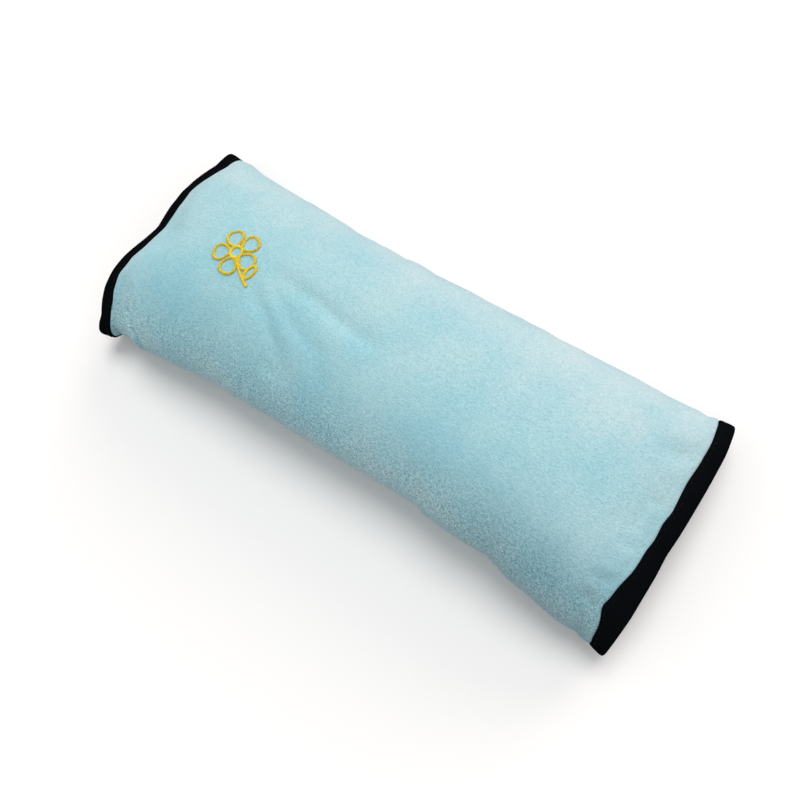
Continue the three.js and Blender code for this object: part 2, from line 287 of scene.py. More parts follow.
def spline_weights(at, count):
    """A matrix that reads a row of values at places between them, on a smooth curve."""
    base = np.clip(np.floor(at).astype(int), 0, count - 2)
    share = at - base
    weights = np.zeros((len(at), count))
    curve = (
        (-share**3 + 2 * share**2 - share) / 2,
        (3 * share**3 - 5 * share**2 + 2) / 2,
        (-3 * share**3 + 4 * share**2 + share) / 2,
        (share**3 - share**2) / 2,
    )
    for offset, value in enumerate(curve, start=-1):
        np.add.at(weights, (np.arange(len(at)), np.clip(base + offset, 0, count - 1)), value)
    return weights


def resample(values, rows, columns):
    """A grid of values read on a finer one, smoothly."""
    down = spline_weights(np.linspace(0, values.shape[0] - 1, rows), values.shape[0])
    along = spline_weights(np.linspace(0, values.shape[1] - 1, columns), values.shape[1])
    return down @ values @ along.T


def blur_grid(values, reach):
    """A grid of values averaged over some cells on every side."""
    kernel = np.exp(-0.5 * (np.arange(-3 * reach, 3 * reach + 1) / reach) ** 2)
    kernel /= kernel.sum()
    for axis in (0, 1):
        padded = np.concatenate([
            np.repeat(np.take(values, [0], axis), 3 * reach, axis),
            values,
            np.repeat(np.take(values, [-1], axis), 3 * reach, axis),
        ], axis)
        values = np.apply_along_axis(lambda line: np.convolve(line, kernel, "valid"), axis, padded)
    return values


def run_along(line):
    """How far along a line of points each of them lies."""
    return np.concatenate([[0], np.cumsum(np.linalg.norm(np.diff(line, axis=0), axis=1))])


def distance_to_line(points, line):
    """From each point to the nearest place on a line of points, and that place's share of the line."""
    best = np.full(points.shape[:-1], 1e9)
    share = np.zeros(points.shape[:-1])
    spans = len(line) - 1
    for i in range(spans):
        start, way = line[i], line[i + 1] - line[i]
        t = np.clip(((points - start) @ way) / (way @ way), 0, 1)
        away = np.linalg.norm(points - (start + t[..., None] * way), axis=-1)
        nearer = away < best
        best = np.where(nearer, away, best)
        share = np.where(nearer, (i + t) / spans, share)
    return best, share


def fold_depth(s, y):
    """How deep the front's soft folds are at places along and across the pad."""
    places = np.stack(np.broadcast_arrays(s, y), axis=-1)
    depth = np.zeros(places.shape[:-1])
    for start, end, deep in FOLDS:
        away, _ = distance_to_line(places, np.array([start, end]) * MM)
        depth += deep * MM * np.exp(-((away / (FOLD_WIDTH * MM)) ** 2))
    return depth


class PadShape:
    """The pad's form, worked out from its sizes.

    A place on the wrapped sheet is its station s, the distance from mid-pad, and its turn q: 0 to 1 along the
    lower flap, to 2 round the far edge, to 3 over the front, to 4 round the near edge and to 5 along the upper
    flap. Depth is how far in from the outer face of the plush it lies.
    """

    # Powers of the curves along and across the pad.
    SWELL = 5
    FLARE = 3
    PULL = 4
    ARCH = 2.2
    DISH = 4
    RISE = 7
    SWAY_SHIFT = 0.12

    # Where the ends begin to wander, and where they do so fully.
    WANDER = (0.092, 0.126)

    # Spans of turns that the relief, the tapes' wavy edges and the pinched corner rise and fall over.
    RELIEF_TURNS = ((1.02, 1.5), (3.5, 3.98))
    NARROWING_TURNS = ((1.3, 1.8), (3.15, 3.6))
    PINCH_TURNS = ((2.72, 2.92), (3.3, 3.7))
    PINCH_DEPTH = 4.4 * MM
    PINCH_REACH = 4.2 * MM

    # Gathers beside the bindings: depth, width in turns, reach, lean, and how many turns apart they are.
    GATHER_TURNS = (1.25, 3.75)
    GATHER_DEPTH = (0.15, 0.5)
    GATHER_WIDTH = (0.035, 0.055)
    GATHER_REACH = (7, 15)
    GATHER_LEAN = (-0.004, 0.004)
    GATHER_GAP = (0.09, 0.19)

    # Unevenness of the stuffing: how broad it is and how high, in millimetres, on a sheet of about this size.
    UNEVEN = ((24, 0.22), (9, 0.10), (4, 0.06))
    UNEVEN_SHEET = (300, 310)

    def __init__(self, sizes):
        for name, value in sizes:
            setattr(self, name, value)
        self.half_length = self.length / 2
        self.flap_rise = self.plush + 2 * self.closure + 3 * self.seat
        self.lining_depth = self.plush + self.seat
        self.binding_start = self.half_length - self.tape_width
        self.grip_start = self.binding_start - self.seat
        self.sheet_end = self.half_length - self.tape - self.seat
        self.bulge = None

    def section(self, s):
        """Half the width at the far and the near side, and the height of the widest line and of the crown."""
        share = np.abs(s) / self.half_length
        flare = share**self.FLARE
        half = (self.waist + (self.end_width - self.waist) * flare) / 2
        side = self.side_height + (self.corner_height - self.side_height) * flare
        crown = self.height + (self.end_crown - self.height) * share**self.SWELL
        return half + read_table(FAR_EDGE, s), half + read_table(NEAR_EDGE, s), side, crown

    def half_at(self, q, s):
        """Half the width, on the side of the pad that the turn is on."""
        far, near, _, _ = self.section(s)
        return np.where(q < 2.5, far, near)

    def across_of(self, q, s, depth=0.0, folded=True):
        """(y, z) of the section at a station."""
        far, near, side, crown = self.section(s)
        leg = np.clip(np.floor(q), 0, 4)
        t = q - leg
        quarter = t * np.pi / 2
        power = 2 / self.ARCH
        cos, sin = np.cos(t * np.pi), np.sin(t * np.pi)
        arch_cos = np.sign(cos) * np.abs(cos) ** power
        arch_sin = np.abs(sin) ** power
        flat, lap, rise = self.flat_half, self.overlap / 2, self.flap_rise
        half = np.where(q < 2.5, far, near)
        if folded:
            depth = depth + np.where(leg == 2, fold_depth(s, half * arch_cos) * arch_sin, 0.0)
        inner = half - depth
        y = np.select(
            [leg == 0, leg == 1, leg == 2, leg == 3],
            [
                -lap + (flat + lap) * t,
                flat + (inner - flat) * np.sin(quarter),
                inner * arch_cos,
                -flat - (inner - flat) * np.cos(quarter),
            ],
            -flat + (flat + lap) * t,
        )
        z = np.select(
            [leg == 0, leg == 1, leg == 2, leg == 3],
            [
                depth + 0 * inner * t,
                side - (side - depth) * np.cos(quarter),
                side + (crown - side - depth) * arch_sin,
                side - (side - rise - depth) * np.sin(quarter),
            ],
            rise + depth + 0 * inner * t,
        )
        return y, z

    def wander(self, s, y):
        """How far out the cloth of an end wanders along X."""
        near_end = smooth(*self.WANDER, np.abs(s))
        out = np.where(s < 0, -read_table(LEFT_WANDER, y), read_table(RIGHT_WANDER, y))
        return out * near_end

    def shift(self, s, y, half):
        """How far a place lies along X from its station."""
        across = y / half
        near_end = (np.abs(s) / self.half_length) ** self.PULL
        pull = -np.sign(s) * self.corner_pull * across**2
        sway = np.where(s < 0, self.sway * np.sin(np.pi * (across + self.SWAY_SHIFT)), 0.0)
        return (pull + sway) * near_end + self.wander(s, y)

    def point(self, q, s, depth=0.0):
        """A place on the wrapped sheet, at a depth under its outer face."""
        q, s, depth = np.broadcast_arrays(np.asarray(q, float), np.asarray(s, float), np.asarray(depth, float))
        y, z = self.across_of(q, s, depth)
        outer, _ = self.across_of(q, s, folded=False)
        return np.stack([s + self.shift(s, outer, self.half_at(q, s)), y, z], axis=-1)

    def normal(self, q, s):
        """Outwards, from the outer face."""
        step = 0.004
        low, high = np.clip(q - step, 0, 5), np.clip(q + step, 0, 5)
        round_way = self.point(high, s) - self.point(low, s)
        long_way = self.point(q, s + 0.5 * MM) - self.point(q, s - 0.5 * MM)
        normal = np.cross(round_way, long_way)
        return normal / np.linalg.norm(normal, axis=-1, keepdims=True)

    def front_turn(self, s, y):
        """The turn q of a place across the front."""
        far, near, _, _ = self.section(s)
        share = np.clip(y / np.where(y > 0, far, near), -1, 1)
        return 2 + np.arccos(np.sign(share) * np.abs(share) ** (self.ARCH / 2)) / np.pi

    def narrowing(self, q, left):
        """How far out the inner edge of a tape lies from its plain width."""
        side = -1 if left else 1
        y, _ = self.across_of(q, np.full_like(q, side * self.binding_start), folded=False)
        table = LEFT_NARROWING if left else RIGHT_NARROWING
        return read_table(table, y) * window(*self.NARROWING_TURNS, q)

    def turns(self, gap, low=0.0, high=5.0, ends=()):
        """Turns between two, evenly spaced by length half way along, and that length at each."""
        fine = np.linspace(low, high, 4001)
        run = run_along(self.point(fine, 0.0))
        places = np.linspace(0, run[-1], int(round(run[-1] / gap)) + 1)
        extra = [[place, run[-1] - place] for place in ends]
        places = np.unique(np.concatenate([places[(places < 1e-9) | (places > max(ends, default=0))], *extra]))
        places = places[(places < 1e-9) | (places > run[-1] - 1e-9) | np.isin(places, extra)
                        | (places < run[-1] - max(ends, default=0))]
        return np.interp(places, run, fine), places

    def stray(self, q, s):
        """Relief of the plush's outer face, outwards: puckers, creases and the pile's own unevenness."""
        q, s = np.broadcast_arrays(np.asarray(q, float), np.asarray(s, float))
        base = self.point(q, s)
        height = np.zeros(q.shape)
        for line, depth, width in CREASES:
            line = np.array(line) * MM
            places = self.point(self.front_turn(line[:, 0], line[:, 1]), line[:, 0])
            box_low, box_high = places.min(0) - 4 * width * MM, places.max(0) + 4 * width * MM
            close = np.all((base > box_low) & (base < box_high), axis=-1)
            away, share = distance_to_line(base[close], places)
            fade = np.sin(np.pi * np.clip(share * 0.8 + 0.1, 0, 1)) ** 0.7
            reach = away / (width * MM)
            height[close] += depth * MM * fade * (0.35 * np.exp(-((reach - 2.0) ** 2)) - np.exp(-(reach**2)))
        height += self.end_puckers(q, s)
        if self.bulge is not None:
            height += self.read_bulge(q, s)
        height += self.unevenness(q, s)
        edge = self.binding_start + np.where(s < 0, self.narrowing(q, True), self.narrowing(q, False))
        inwards = edge - np.abs(s)
        height *= window(*self.RELIEF_TURNS, q) * smooth(0.0, 7 * MM, inwards)
        corner = np.where(s < 0, window(*self.PINCH_TURNS, q), 0.0)
        pinch = smooth(-0.1 * MM, 1.1 * MM, inwards) * np.exp(-((inwards / self.PINCH_REACH) ** 2))
        return height - self.PINCH_DEPTH * corner * pinch

    def end_puckers(self, q, s):
        """Short gathers that run in from either binding, shallower the further in."""
        height = np.zeros(q.shape)
        random = np.random.default_rng(11)
        for side in (-1, 1):
            turn, last = self.GATHER_TURNS
            while turn < last:
                depth = random.uniform(*self.GATHER_DEPTH) * MM
                width = random.uniform(*self.GATHER_WIDTH)
                reach = random.uniform(*self.GATHER_REACH) * MM
                lean = random.uniform(*self.GATHER_LEAN)
                inwards = self.binding_start - side * s
                place = turn + lean * inwards / MM
                off = (q - place) / width
                profile = np.exp(-(off**2)) - 0.45 * np.exp(-((off / 2) ** 2))
                fade = smooth(0, 4 * MM, inwards) * np.exp(-((inwards / reach) ** 2))
                height -= depth * profile * fade
                turn += random.uniform(*self.GATHER_GAP)
        return height

    def unevenness(self, q, s):
        """Broad and fine lumps of the stuffing under the plush."""
        height = np.zeros(q.shape)
        random = np.random.default_rng(5)
        for gap, amount in self.UNEVEN:
            rows, columns = (int(side / gap) + 3 for side in self.UNEVEN_SHEET)
            field = random.standard_normal((rows, columns))
            fine = resample(field, 4 * rows, 4 * columns)
            height += amount * MM * self.read_field(fine, q, s)
        return height

    def read_field(self, field, q, s):
        """A grid of values over the whole sheet, read between its points."""
        rows, columns = field.shape
        i = np.clip((s / self.length + 0.5) * (rows - 1), 0, rows - 1.001)
        j = np.clip(q / 5 * (columns - 1), 0, columns - 1.001)
        i0, j0 = i.astype(int), j.astype(int)
        u, v = i - i0, j - j0
        top = field[i0, j0] * (1 - v) + field[i0, j0 + 1] * v
        bottom = field[i0 + 1, j0] * (1 - v) + field[i0 + 1, j0 + 1] * v
        return top * (1 - u) + bottom * u

    def read_bulge(self, q, s):
        """The simulated puckers, which lie on the front and both edges."""
        inside = (q >= 1) & (q <= 4)
        scaled = np.clip((q - 1) / 3, 0, 1) * 5
        return np.where(inside, self.read_field(self.bulge, scaled, s), 0.0)

    def outer(self, q, s):
        """The plush's outer face with its relief."""
        return self.point(q, s) + self.normal(q, s) * self.stray(q, s)[..., None]

    def lining_share(self, s):
        """How nearly the lining has joined the front's turns, fully so at either end."""
        return np.minimum(1.0, (np.abs(s) / (self.grip_start - self.seat)) ** self.RISE)

    def lining_point(self, q, s, below):
        """A face of the lining, over the turns of the front."""
        q, s = np.broadcast_arrays(np.asarray(q, float), np.asarray(s, float))
        _, _, side, _ = self.section(s)
        half = self.half_at(q, s)
        power = 2 / self.ARCH
        cos = np.cos((q - 2) * np.pi)
        edge = math.cos(math.radians(10)) ** power
        across = np.sign(cos) * np.abs(cos) ** power / edge
        lowest = self.flap_rise + self.plush + self.belt_room + self.lining
        dish = np.stack([
            self.point(q, s, self.lining_depth)[..., 0],
            (half - self.lining_depth - below) * across,
            lowest + (side - lowest) * np.abs(across) ** self.DISH - below,
        ], axis=-1)
        share = self.lining_share(s)[..., None]
        return dish + (self.point(q, s, self.lining_depth + below) - dish) * share


@functools.lru_cache(maxsize=1)
def shaped(sizes):
    """The form for a set of sizes, blown up once."""
    shape = PadShape(sizes)
    shape.bulge = simulate_bulge(shape)
    return shape


def pad_shape(context):
    """The form for the scene's present sizes, with its simulated puckers."""
    sizes = context.scene.pad_sizes
    return shaped(tuple((name, getattr(sizes, name)) for name in PadSizes.__annotations__))


def simulate_bulge(shape):
    """Puckers of the stuffed cloth: a coarse sheet a little too large for its form is blown up between its
    seams, and how far it then stands off the form's own smooth swell is kept."""
    turns, _ = shape.turns(4.2 * MM, 1.0, 4.0)
    stations = np.linspace(-shape.binding_start, shape.binding_start, 65)
    q, s = np.meshgrid(turns, stations)
    rest = shape.point(q, s, 0.6 * MM)
    rows, columns = q.shape
    faces = grid_faces(np.arange(rows * columns).reshape(rows, columns))
    sheet = mesh_object("blown_sheet", rest, faces.tolist())
    mesh = sheet.data
    held = sheet.vertex_groups.new(name="held")
    firm = np.zeros((rows, columns))
    firm[[0, -1], :] = 1.0
    firm[:, [0, -1]] = 1.0
    held.add(np.flatnonzero(firm).tolist(), 1.0, "REPLACE")
    cloth = sheet.modifiers.new("blow", "CLOTH")
    for name, value in BLOWN_CLOTH.items():
        setattr(cloth.settings, name, value)
    cloth.settings.effector_weights.gravity = 0
    cloth.collision_settings.use_collision = False
    scene = bpy.context.scene
    for number in range(1, BLOWN_FRAMES + 1):
        scene.frame_set(number)
    evaluated = sheet.evaluated_get(bpy.context.evaluated_depsgraph_get())
    blown = np.empty(rows * columns * 3)
    evaluated.data.vertices.foreach_get("co", blown)
    scene.frame_set(1)
    bpy.data.objects.remove(sheet)
    bpy.data.meshes.remove(mesh)
    moved = ((blown.reshape(rows, columns, 3) - rest) * shape.normal(q, s)).sum(-1)
    pucker = np.clip((moved - blur_grid(moved, 4)) * PUCKER_SHARE, -PUCKER_LIMIT, PUCKER_LIMIT)
    return resample(pucker, 4 * rows, 4 * columns)


def linked_object(name, data):
    """A new object in the scene."""
    made = bpy.data.objects.new(name, data)
    bpy.context.scene.collection.objects.link(made)
    return made


def mesh_object(name, points, faces, uv=None):
    """A smoothly shaded mesh, with a map in metres of the cloth where one is given."""
    mesh = bpy.data.meshes.new(name)
    mesh.from_pydata(points.reshape(-1, 3).tolist(), [], faces)
    mesh.shade_smooth()
    if uv is not None:
        layer = mesh.uv_layers.new(name="Cloth")
        corners = np.empty(len(mesh.loops), dtype=np.int64)
        mesh.loops.foreach_get("vertex_index", corners)
        layer.uv.foreach_set("vector", uv.reshape(-1, 2)[corners].astype(np.float32).ravel())
    return linked_object(name, mesh)


def grid_faces(corner):
    """Faces between the points of a grid, from their numbers."""
    around = [corner[:-1, :-1], corner[:-1, 1:], corner[1:, 1:], corner[1:, :-1]]
    return np.stack(around, axis=-1).reshape(-1, 4)


def sheet_faces(rows, columns):
    """Faces of a closed sheet: an outer and an inner grid of points, sewn together along all four sides."""
    outer = np.arange(rows * columns).reshape(rows, columns)
    inner = outer + rows * columns
    back = np.stack([inner[:-1, :-1], inner[1:, :-1], inner[1:, 1:], inner[:-1, 1:]], axis=-1)
    low = np.stack([outer[0, 1:], outer[0, :-1], inner[0, :-1], inner[0, 1:]], axis=-1)
    high = np.stack([outer[-1, :-1], outer[-1, 1:], inner[-1, 1:], inner[-1, :-1]], axis=-1)
    start = np.stack([outer[:-1, 0], outer[1:, 0], inner[1:, 0], inner[:-1, 0]], axis=-1)
    end = np.stack([outer[1:, -1], outer[:-1, -1], inner[:-1, -1], inner[1:, -1]], axis=-1)
    rest = [part.reshape(-1, 4) for part in (back, low, high, start, end)]
    return np.concatenate([grid_faces(outer), *rest]).tolist()


def sheet_object(name, outer, inner, runs, stations):
    """A closed sheet from the grids of its two faces, mapped by its length both ways."""
    rows, columns = outer.shape[:2]
    points = np.concatenate([outer.reshape(-1, 3), inner.reshape(-1, 3)])
    run, station = np.meshgrid(runs, stations)
    uv = np.stack([station, run], axis=-1).reshape(-1, 2)
    return mesh_object(name, points, sheet_faces(rows, columns), np.concatenate([uv, uv]))


def node(tree, kind, at, **settings):
    """A new node at a place in its tree."""
    made = tree.nodes.new(kind)
    made.location = at
    for name, value in settings.items():
        setattr(made, name, value)
    return made


def new_group(name, inputs, outputs):
    """A shader group with its sockets: (name, kind, default) in, (name, kind) out."""
    tree = bpy.data.node_groups.new(name, "ShaderNodeTree")
    for label, kind, default in inputs:
        socket = tree.interface.new_socket(label, in_out="INPUT", socket_type=kind)
        if default is not None:
            socket.default_value = default
    for label, kind in outputs:
        tree.interface.new_socket(label, in_out="OUTPUT", socket_type=kind)
    return tree, tree.nodes.new("NodeGroupInput"), tree.nodes.new("NodeGroupOutput")


def fill(made, values):
    """Sets a node's sockets by their names."""
    for label, value in values.items():
        made.inputs[label].default_value = value
    return made


def math_node(tree, operation, first, second, at):
    """A sum in a material, of numbers or nodes' outputs."""
    made = node(tree, "ShaderNodeMath", at, operation=operation)
    for socket, value in zip(made.inputs, (first, second)):
        if isinstance(value, (int, float)):
            socket.default_value = value
        else:
            tree.links.new(value, socket)
    return made.outputs[0]


def map_range(tree, value, low, high, at, kind="SMOOTHSTEP"):
    """0 below low, 1 above high, of a value in a material."""
    made = node(tree, "ShaderNodeMapRange", at, interpolation_type=kind)
    fill(made, {"From Min": low, "From Max": high})
    tree.links.new(value, made.inputs["Value"])
    return made.outputs[0]


def blend(tree, factor, low, high, at, blend_type="MIX"):
    """Mixes two colours in a material, each a colour or a node's output."""
    made = node(tree, "ShaderNodeMix", at, data_type="RGBA", blend_type=blend_type)
    if isinstance(factor, float):
        made.inputs["Factor"].default_value = factor
    else:
        tree.links.new(factor, made.inputs["Factor"])
    for socket, value in (("A", low), ("B", high)):
        if isinstance(value, tuple):
            made.inputs[socket].default_value = (*value, 1.0)
        else:
            tree.links.new(value, made.inputs[socket])
    return made.outputs["Result"]


def noise_node(tree, source, at, values, dimensions="2D"):
    """A noise texture, read at a place."""
    made = fill(node(tree, "ShaderNodeTexNoise", at, noise_dimensions=dimensions), values)
    tree.links.new(source, made.inputs["Vector"])
    return made


def placed_group(tree, group, source, values, at):
    """A shader group in a material, with its own values."""
    made = fill(node(tree, "ShaderNodeGroup", at, node_tree=group), values)
    tree.links.new(source, made.inputs["Vector"])
    return made


def new_material(name, roughness, shine):
    """A material, with its tree and its shader."""
    material = bpy.data.materials.new(name)
    material.use_nodes = True
    shader = material.node_tree.nodes["Principled BSDF"]
    fill(shader, {"Roughness": roughness, "Specular IOR Level": shine})
    return material, material.node_tree, shader


def add_bump(tree, shader, height, strength, distance):
    """Relief of a surface, from a height in its material."""
    raised = fill(node(tree, "ShaderNodeBump", (-250, -250)), {"Strength": strength, "Distance": distance})
    tree.links.new(height, raised.inputs["Height"])
    tree.links.new(raised.outputs[0], shader.inputs["Normal"])


def seen_by(tree, *rays):
    """1 for these kinds of rays, and 0 for the others."""
    paths = node(tree, "ShaderNodeLightPath", (-700, 0))
    seen = paths.outputs[rays[0]]
    for step, ray in enumerate(rays[1:]):
        seen = math_node(tree, "MAXIMUM", seen, paths.outputs[ray], (-500 + 150 * step, 100))
    return seen


@functools.lru_cache(maxsize=None)
def pile_group():
    """Brushed pile: short strokes that lie along the cloth, gathered in clumps and in broad patches."""
    tree, given, put = new_group(
        "Brushed pile",
        [
            ("Vector", "NodeSocketVector", None),
            ("Stroke", "NodeSocketFloat", 0.0006),
            ("Stretch", "NodeSocketFloat", 2.6),
            ("Patch", "NodeSocketFloat", 0.03),
        ],
        [("Tone", "NodeSocketFloat"), ("Patches", "NodeSocketFloat"), ("Height", "NodeSocketFloat")],
    )
    links = tree.links
    vector = given.outputs["Vector"]
    split = node(tree, "ShaderNodeSeparateXYZ", (-900, 0))
    links.new(vector, split.inputs[0])
    warp = noise_node(tree, vector, (-900, -260), {"Scale": 160.0, "Detail": 1.0})
    centred = math_node(tree, "SUBTRACT", warp.outputs[0], 0.5, (-700, -260))
    bend = math_node(tree, "MULTIPLY", centred, 0.0025, (-540, -260))
    long_step = math_node(tree, "MULTIPLY", given.outputs["Stroke"], given.outputs["Stretch"], (-900, 200))
    along = math_node(tree, "DIVIDE", split.outputs["X"], long_step, (-540, 120))
    crossed = math_node(tree, "ADD", split.outputs["Y"], bend, (-540, -60))
    across = math_node(tree, "DIVIDE", crossed, given.outputs["Stroke"], (-380, -60))
    place = node(tree, "ShaderNodeCombineXYZ", (-220, 60))
    links.new(along, place.inputs["X"])
    links.new(across, place.inputs["Y"])
    stroke_values = {"Scale": 0.8, "Detail": 2.0, "Roughness": 0.55, "Distortion": 0.15}
    strokes = noise_node(tree, place.outputs[0], (-40, 120), stroke_values)
    clumps = noise_node(tree, place.outputs[0], (-40, -140), {"Scale": 0.3, "Detail": 1.0})
    wide = noise_node(tree, vector, (-40, -380), {"Detail": 2.0, "Roughness": 0.45})
    links.new(math_node(tree, "DIVIDE", 1.0, given.outputs["Patch"], (-300, -380)), wide.inputs["Scale"])
    shorter = math_node(tree, "MULTIPLY", strokes.outputs[0], 0.72, (160, 120))
    softer = math_node(tree, "MULTIPLY", clumps.outputs[0], 0.28, (160, -140))
    height = math_node(tree, "ADD", shorter, softer, (320, 0))
    links.new(height, put.inputs["Height"])
    links.new(height, put.inputs["Tone"])
    links.new(wide.outputs[0], put.inputs["Patches"])
    return tree


@functools.lru_cache(maxsize=None)
def weave_group():
    """Plain weave: threads over and under each other, with a little irregularity."""
    tree, given, put = new_group(
        "Plain weave",
        [
            ("Vector", "NodeSocketVector", None),
            ("Thread", "NodeSocketFloat", 0.0004),
            ("Slub", "NodeSocketFloat", 0.3),
        ],
        [("Tone", "NodeSocketFloat"), ("Height", "NodeSocketFloat")],
    )
    links = tree.links
    split = node(tree, "ShaderNodeSeparateXYZ", (-900, 0))
    links.new(given.outputs["Vector"], split.inputs[0])
    waves = []
    for axis, level in (("X", 160), ("Y", -60)):
        turn = math_node(tree, "DIVIDE", split.outputs[axis], given.outputs["Thread"], (-700, level))
        turn = math_node(tree, "MULTIPLY", turn, math.pi, (-540, level))
        waves.append(math_node(tree, "SINE", turn, 0.0, (-380, level)))
    crossing = math_node(tree, "MULTIPLY", waves[0], waves[1], (-200, 60))
    over = math_node(tree, "ABSOLUTE", waves[0], 0.0, (-200, 220))
    under = math_node(tree, "ABSOLUTE", waves[1], 0.0, (-200, -120))
    ridge = math_node(tree, "MAXIMUM", over, under, (-40, 120))
    lifted = math_node(tree, "MULTIPLY", crossing, 0.35, (-40, -40))
    woven = math_node(tree, "ADD", ridge, lifted, (120, 60))
    noise = noise_node(tree, given.outputs["Vector"], (-200, -320), {"Scale": 900.0, "Detail": 2.0})
    slub = math_node(tree, "MULTIPLY", noise.outputs[0], given.outputs["Slub"], (120, -260))
    height = math_node(tree, "ADD", woven, slub, (280, 0))
    links.new(height, put.inputs["Height"])
    links.new(math_node(tree, "MULTIPLY", height, 0.7, (440, -60)), put.inputs["Tone"])
    return tree


def cloth_material(name, group, settings, low, high, reach, bump, roughness, sheen, shine=0.2, cloth_map=True):
    """A cloth finish: a group's tone runs its colour from low to high, and its height makes the bump."""
    material, tree, shader = new_material(name, roughness, shine)
    weight, softness, tint = sheen
    fill(shader, {"Sheen Weight": weight, "Sheen Roughness": softness, "Sheen Tint": (*tint, 1.0)})
    if cloth_map:
        source = node(tree, "ShaderNodeUVMap", (-1100, 0), uv_map="Cloth").outputs[0]
    else:
        source = node(tree, "ShaderNodeTexCoord", (-1100, 0)).outputs["Object"]
    placed = placed_group(tree, group, source, settings, (-900, 0))
    share = map_range(tree, placed.outputs["Tone"], *reach, (-650, 100), "LINEAR")
    shade = blend(tree, share, tuple(low), tuple(high), (-400, 150))
    tree.links.new(shade, shader.inputs["Base Color"])
    add_bump(tree, shader, placed.outputs["Height"], *bump)
    return material, source, placed, shade


def times(shade, factor):
    """A colour made lighter or darker."""
    return tuple(min(1.0, channel * factor) for channel in shade)


@functools.lru_cache(maxsize=None)
def plush_material():
    """Short velvety pile: smooth on the front, ruffled towards the sides with painted shade between its tufts
    and painted highlights on their tips, paler or deeper in random patches of brushing, and tinted with painted
    light and shade across it, along it and at its low right corner.
    """
    colours = bpy.context.scene.pad_colours
    material, source, placed, smooth_pile = cloth_material(
        "plush_pile",
        pile_group(),
        {"Stroke": 0.0005, "Stretch": 1.9, "Patch": 0.026},
        colours.plush_root,
        colours.plush,
        (0.20, 0.62),
        (0.60, 0.0006),
        0.95,
        (0.40, 0.45, (1.0, 0.93, 0.94)),
    )
    tree = material.node_tree
    place = node(tree, "ShaderNodeSeparateXYZ", (-1500, 620))
    tree.links.new(source, place.inputs[0])
    total = pad_shape(bpy.context).turns(1 * MM)[1][-1]
    off_middle = math_node(tree, "SUBTRACT", place.outputs["Y"], total / 2, (-1340, 620))
    near = map_range(tree, off_middle, *RUFFLED_AND_SHADED_NEAR, (-1180, 700))
    far = map_range(tree, off_middle, *RUFFLED_AND_SHADED_FAR, (-1180, 780))
    far = math_node(tree, "MULTIPLY", far, RUFFLED_AND_SHADED_FAR_SHARE, (-1020, 780))
    away = math_node(tree, "ABSOLUTE", off_middle, 0.0, (-1180, 620))
    under = map_range(tree, away, *RUFFLED_AND_SHADED_UNDERNEATH, (-1020, 620))
    # The ruffled sides, where the tufts get painted shade between them and painted highlights on their tips.
    ruffled = math_node(tree, "MULTIPLY", math_node(tree, "ADD", near, far, (-880, 700)), under, (-740, 700))
    curls = placed_group(tree, pile_group(), source, {"Stroke": 0.00038, "Stretch": 1.5}, (-900, 340))
    steep = map_range(tree, curls.outputs["Tone"], 0.40, 0.59, (-650, 300), "LINEAR")
    tufts = blend(tree, steep, tuple(colours.plush_tuft_shade), tuple(colours.plush_lit), (-460, 340))
    pile = blend(tree, ruffled, smooth_pile, tufts, (-300, 300))
    patches = map_range(tree, placed.outputs["Patches"], 0.30, 0.70, (-650, 480), "LINEAR")
    brushed_and_painted = blend(tree, patches, *PATCH_TINTS, (-460, 520))
    # Painted light and shade along the pad: the left end darker, the right end redder.
    along = map_range(tree, place.outputs["X"], -0.10, 0.10, (-1020, 900))
    # Painted shade at the low right corner, growing towards the near side and the right end.
    near_side_shade = map_range(tree, off_middle, 0.020, 0.048, (-1020, 1080))
    right_end_shade = map_range(tree, place.outputs["X"], 0.015, 0.115, (-1020, 1260))
    corner = math_node(tree, "MULTIPLY", near_side_shade, right_end_shade, (-800, 1080))
    # Painted light across the sheet, over the pile's own tone: a paler, pinker far side as a painted sheen, and
    # a lighter near edge.
    ramp = node(tree, "ShaderNodeValToRGB", (-620, 760))
    tree.links.new(map_range(tree, place.outputs["Y"], 0.0, total, (-800, 760), "LINEAR"), ramp.inputs[0])
    stops = ramp.color_ramp.elements
    for at, tint in BRUSHED_AND_PAINTED_ACROSS:
        stops.new(0.5 + at * MM / total).color = (*tint, 1.0)
    stops.remove(stops[0])
    stops.remove(stops[len(stops) - 1])
    tints = (
        blend(tree, along, *END_PAINTED_LIGHT, (-800, 900)),
        blend(tree, corner, *CORNER_PAINTED_SHADE, (-620, 1080)),
        ramp.outputs["Color"],
        (PILE_LIFT, PILE_LIFT, PILE_LIFT),
    )
    for step, tint in enumerate(tints):
        brushed_and_painted = blend(tree, 1.0, brushed_and_painted, tint, (-300 + 160 * step, 520), "MULTIPLY")
    base = blend(tree, 1.0, pile, brushed_and_painted, (340, 300), "MULTIPLY")
    tree.links.new(base, tree.nodes["Principled BSDF"].inputs["Base Color"])
    return material


@functools.lru_cache(maxsize=None)
def lining_material():
    colours = bpy.context.scene.pad_colours
    return cloth_material(
        "lining_weave", weave_group(), {"Thread": 0.00045, "Slub": 0.35}, times(colours.lining, 0.72),
        colours.lining, (0.25, 0.95), (0.5, 0.0002), 0.8, (0.1, 0.4, (1, 1, 1)),
    )[0]


@functools.lru_cache(maxsize=None)
def tape_material():
    colours = bpy.context.scene.pad_colours
    return cloth_material(
        "binding_weave", weave_group(), {"Thread": 0.0005, "Slub": 0.4}, times(colours.tape, 0.6),
        times(colours.tape, 1.5), (0.2, 1.0), (0.6, 0.0003), 0.9, (0.0, 0.5, (1, 1, 1)), shine=0.0,
    )[0]


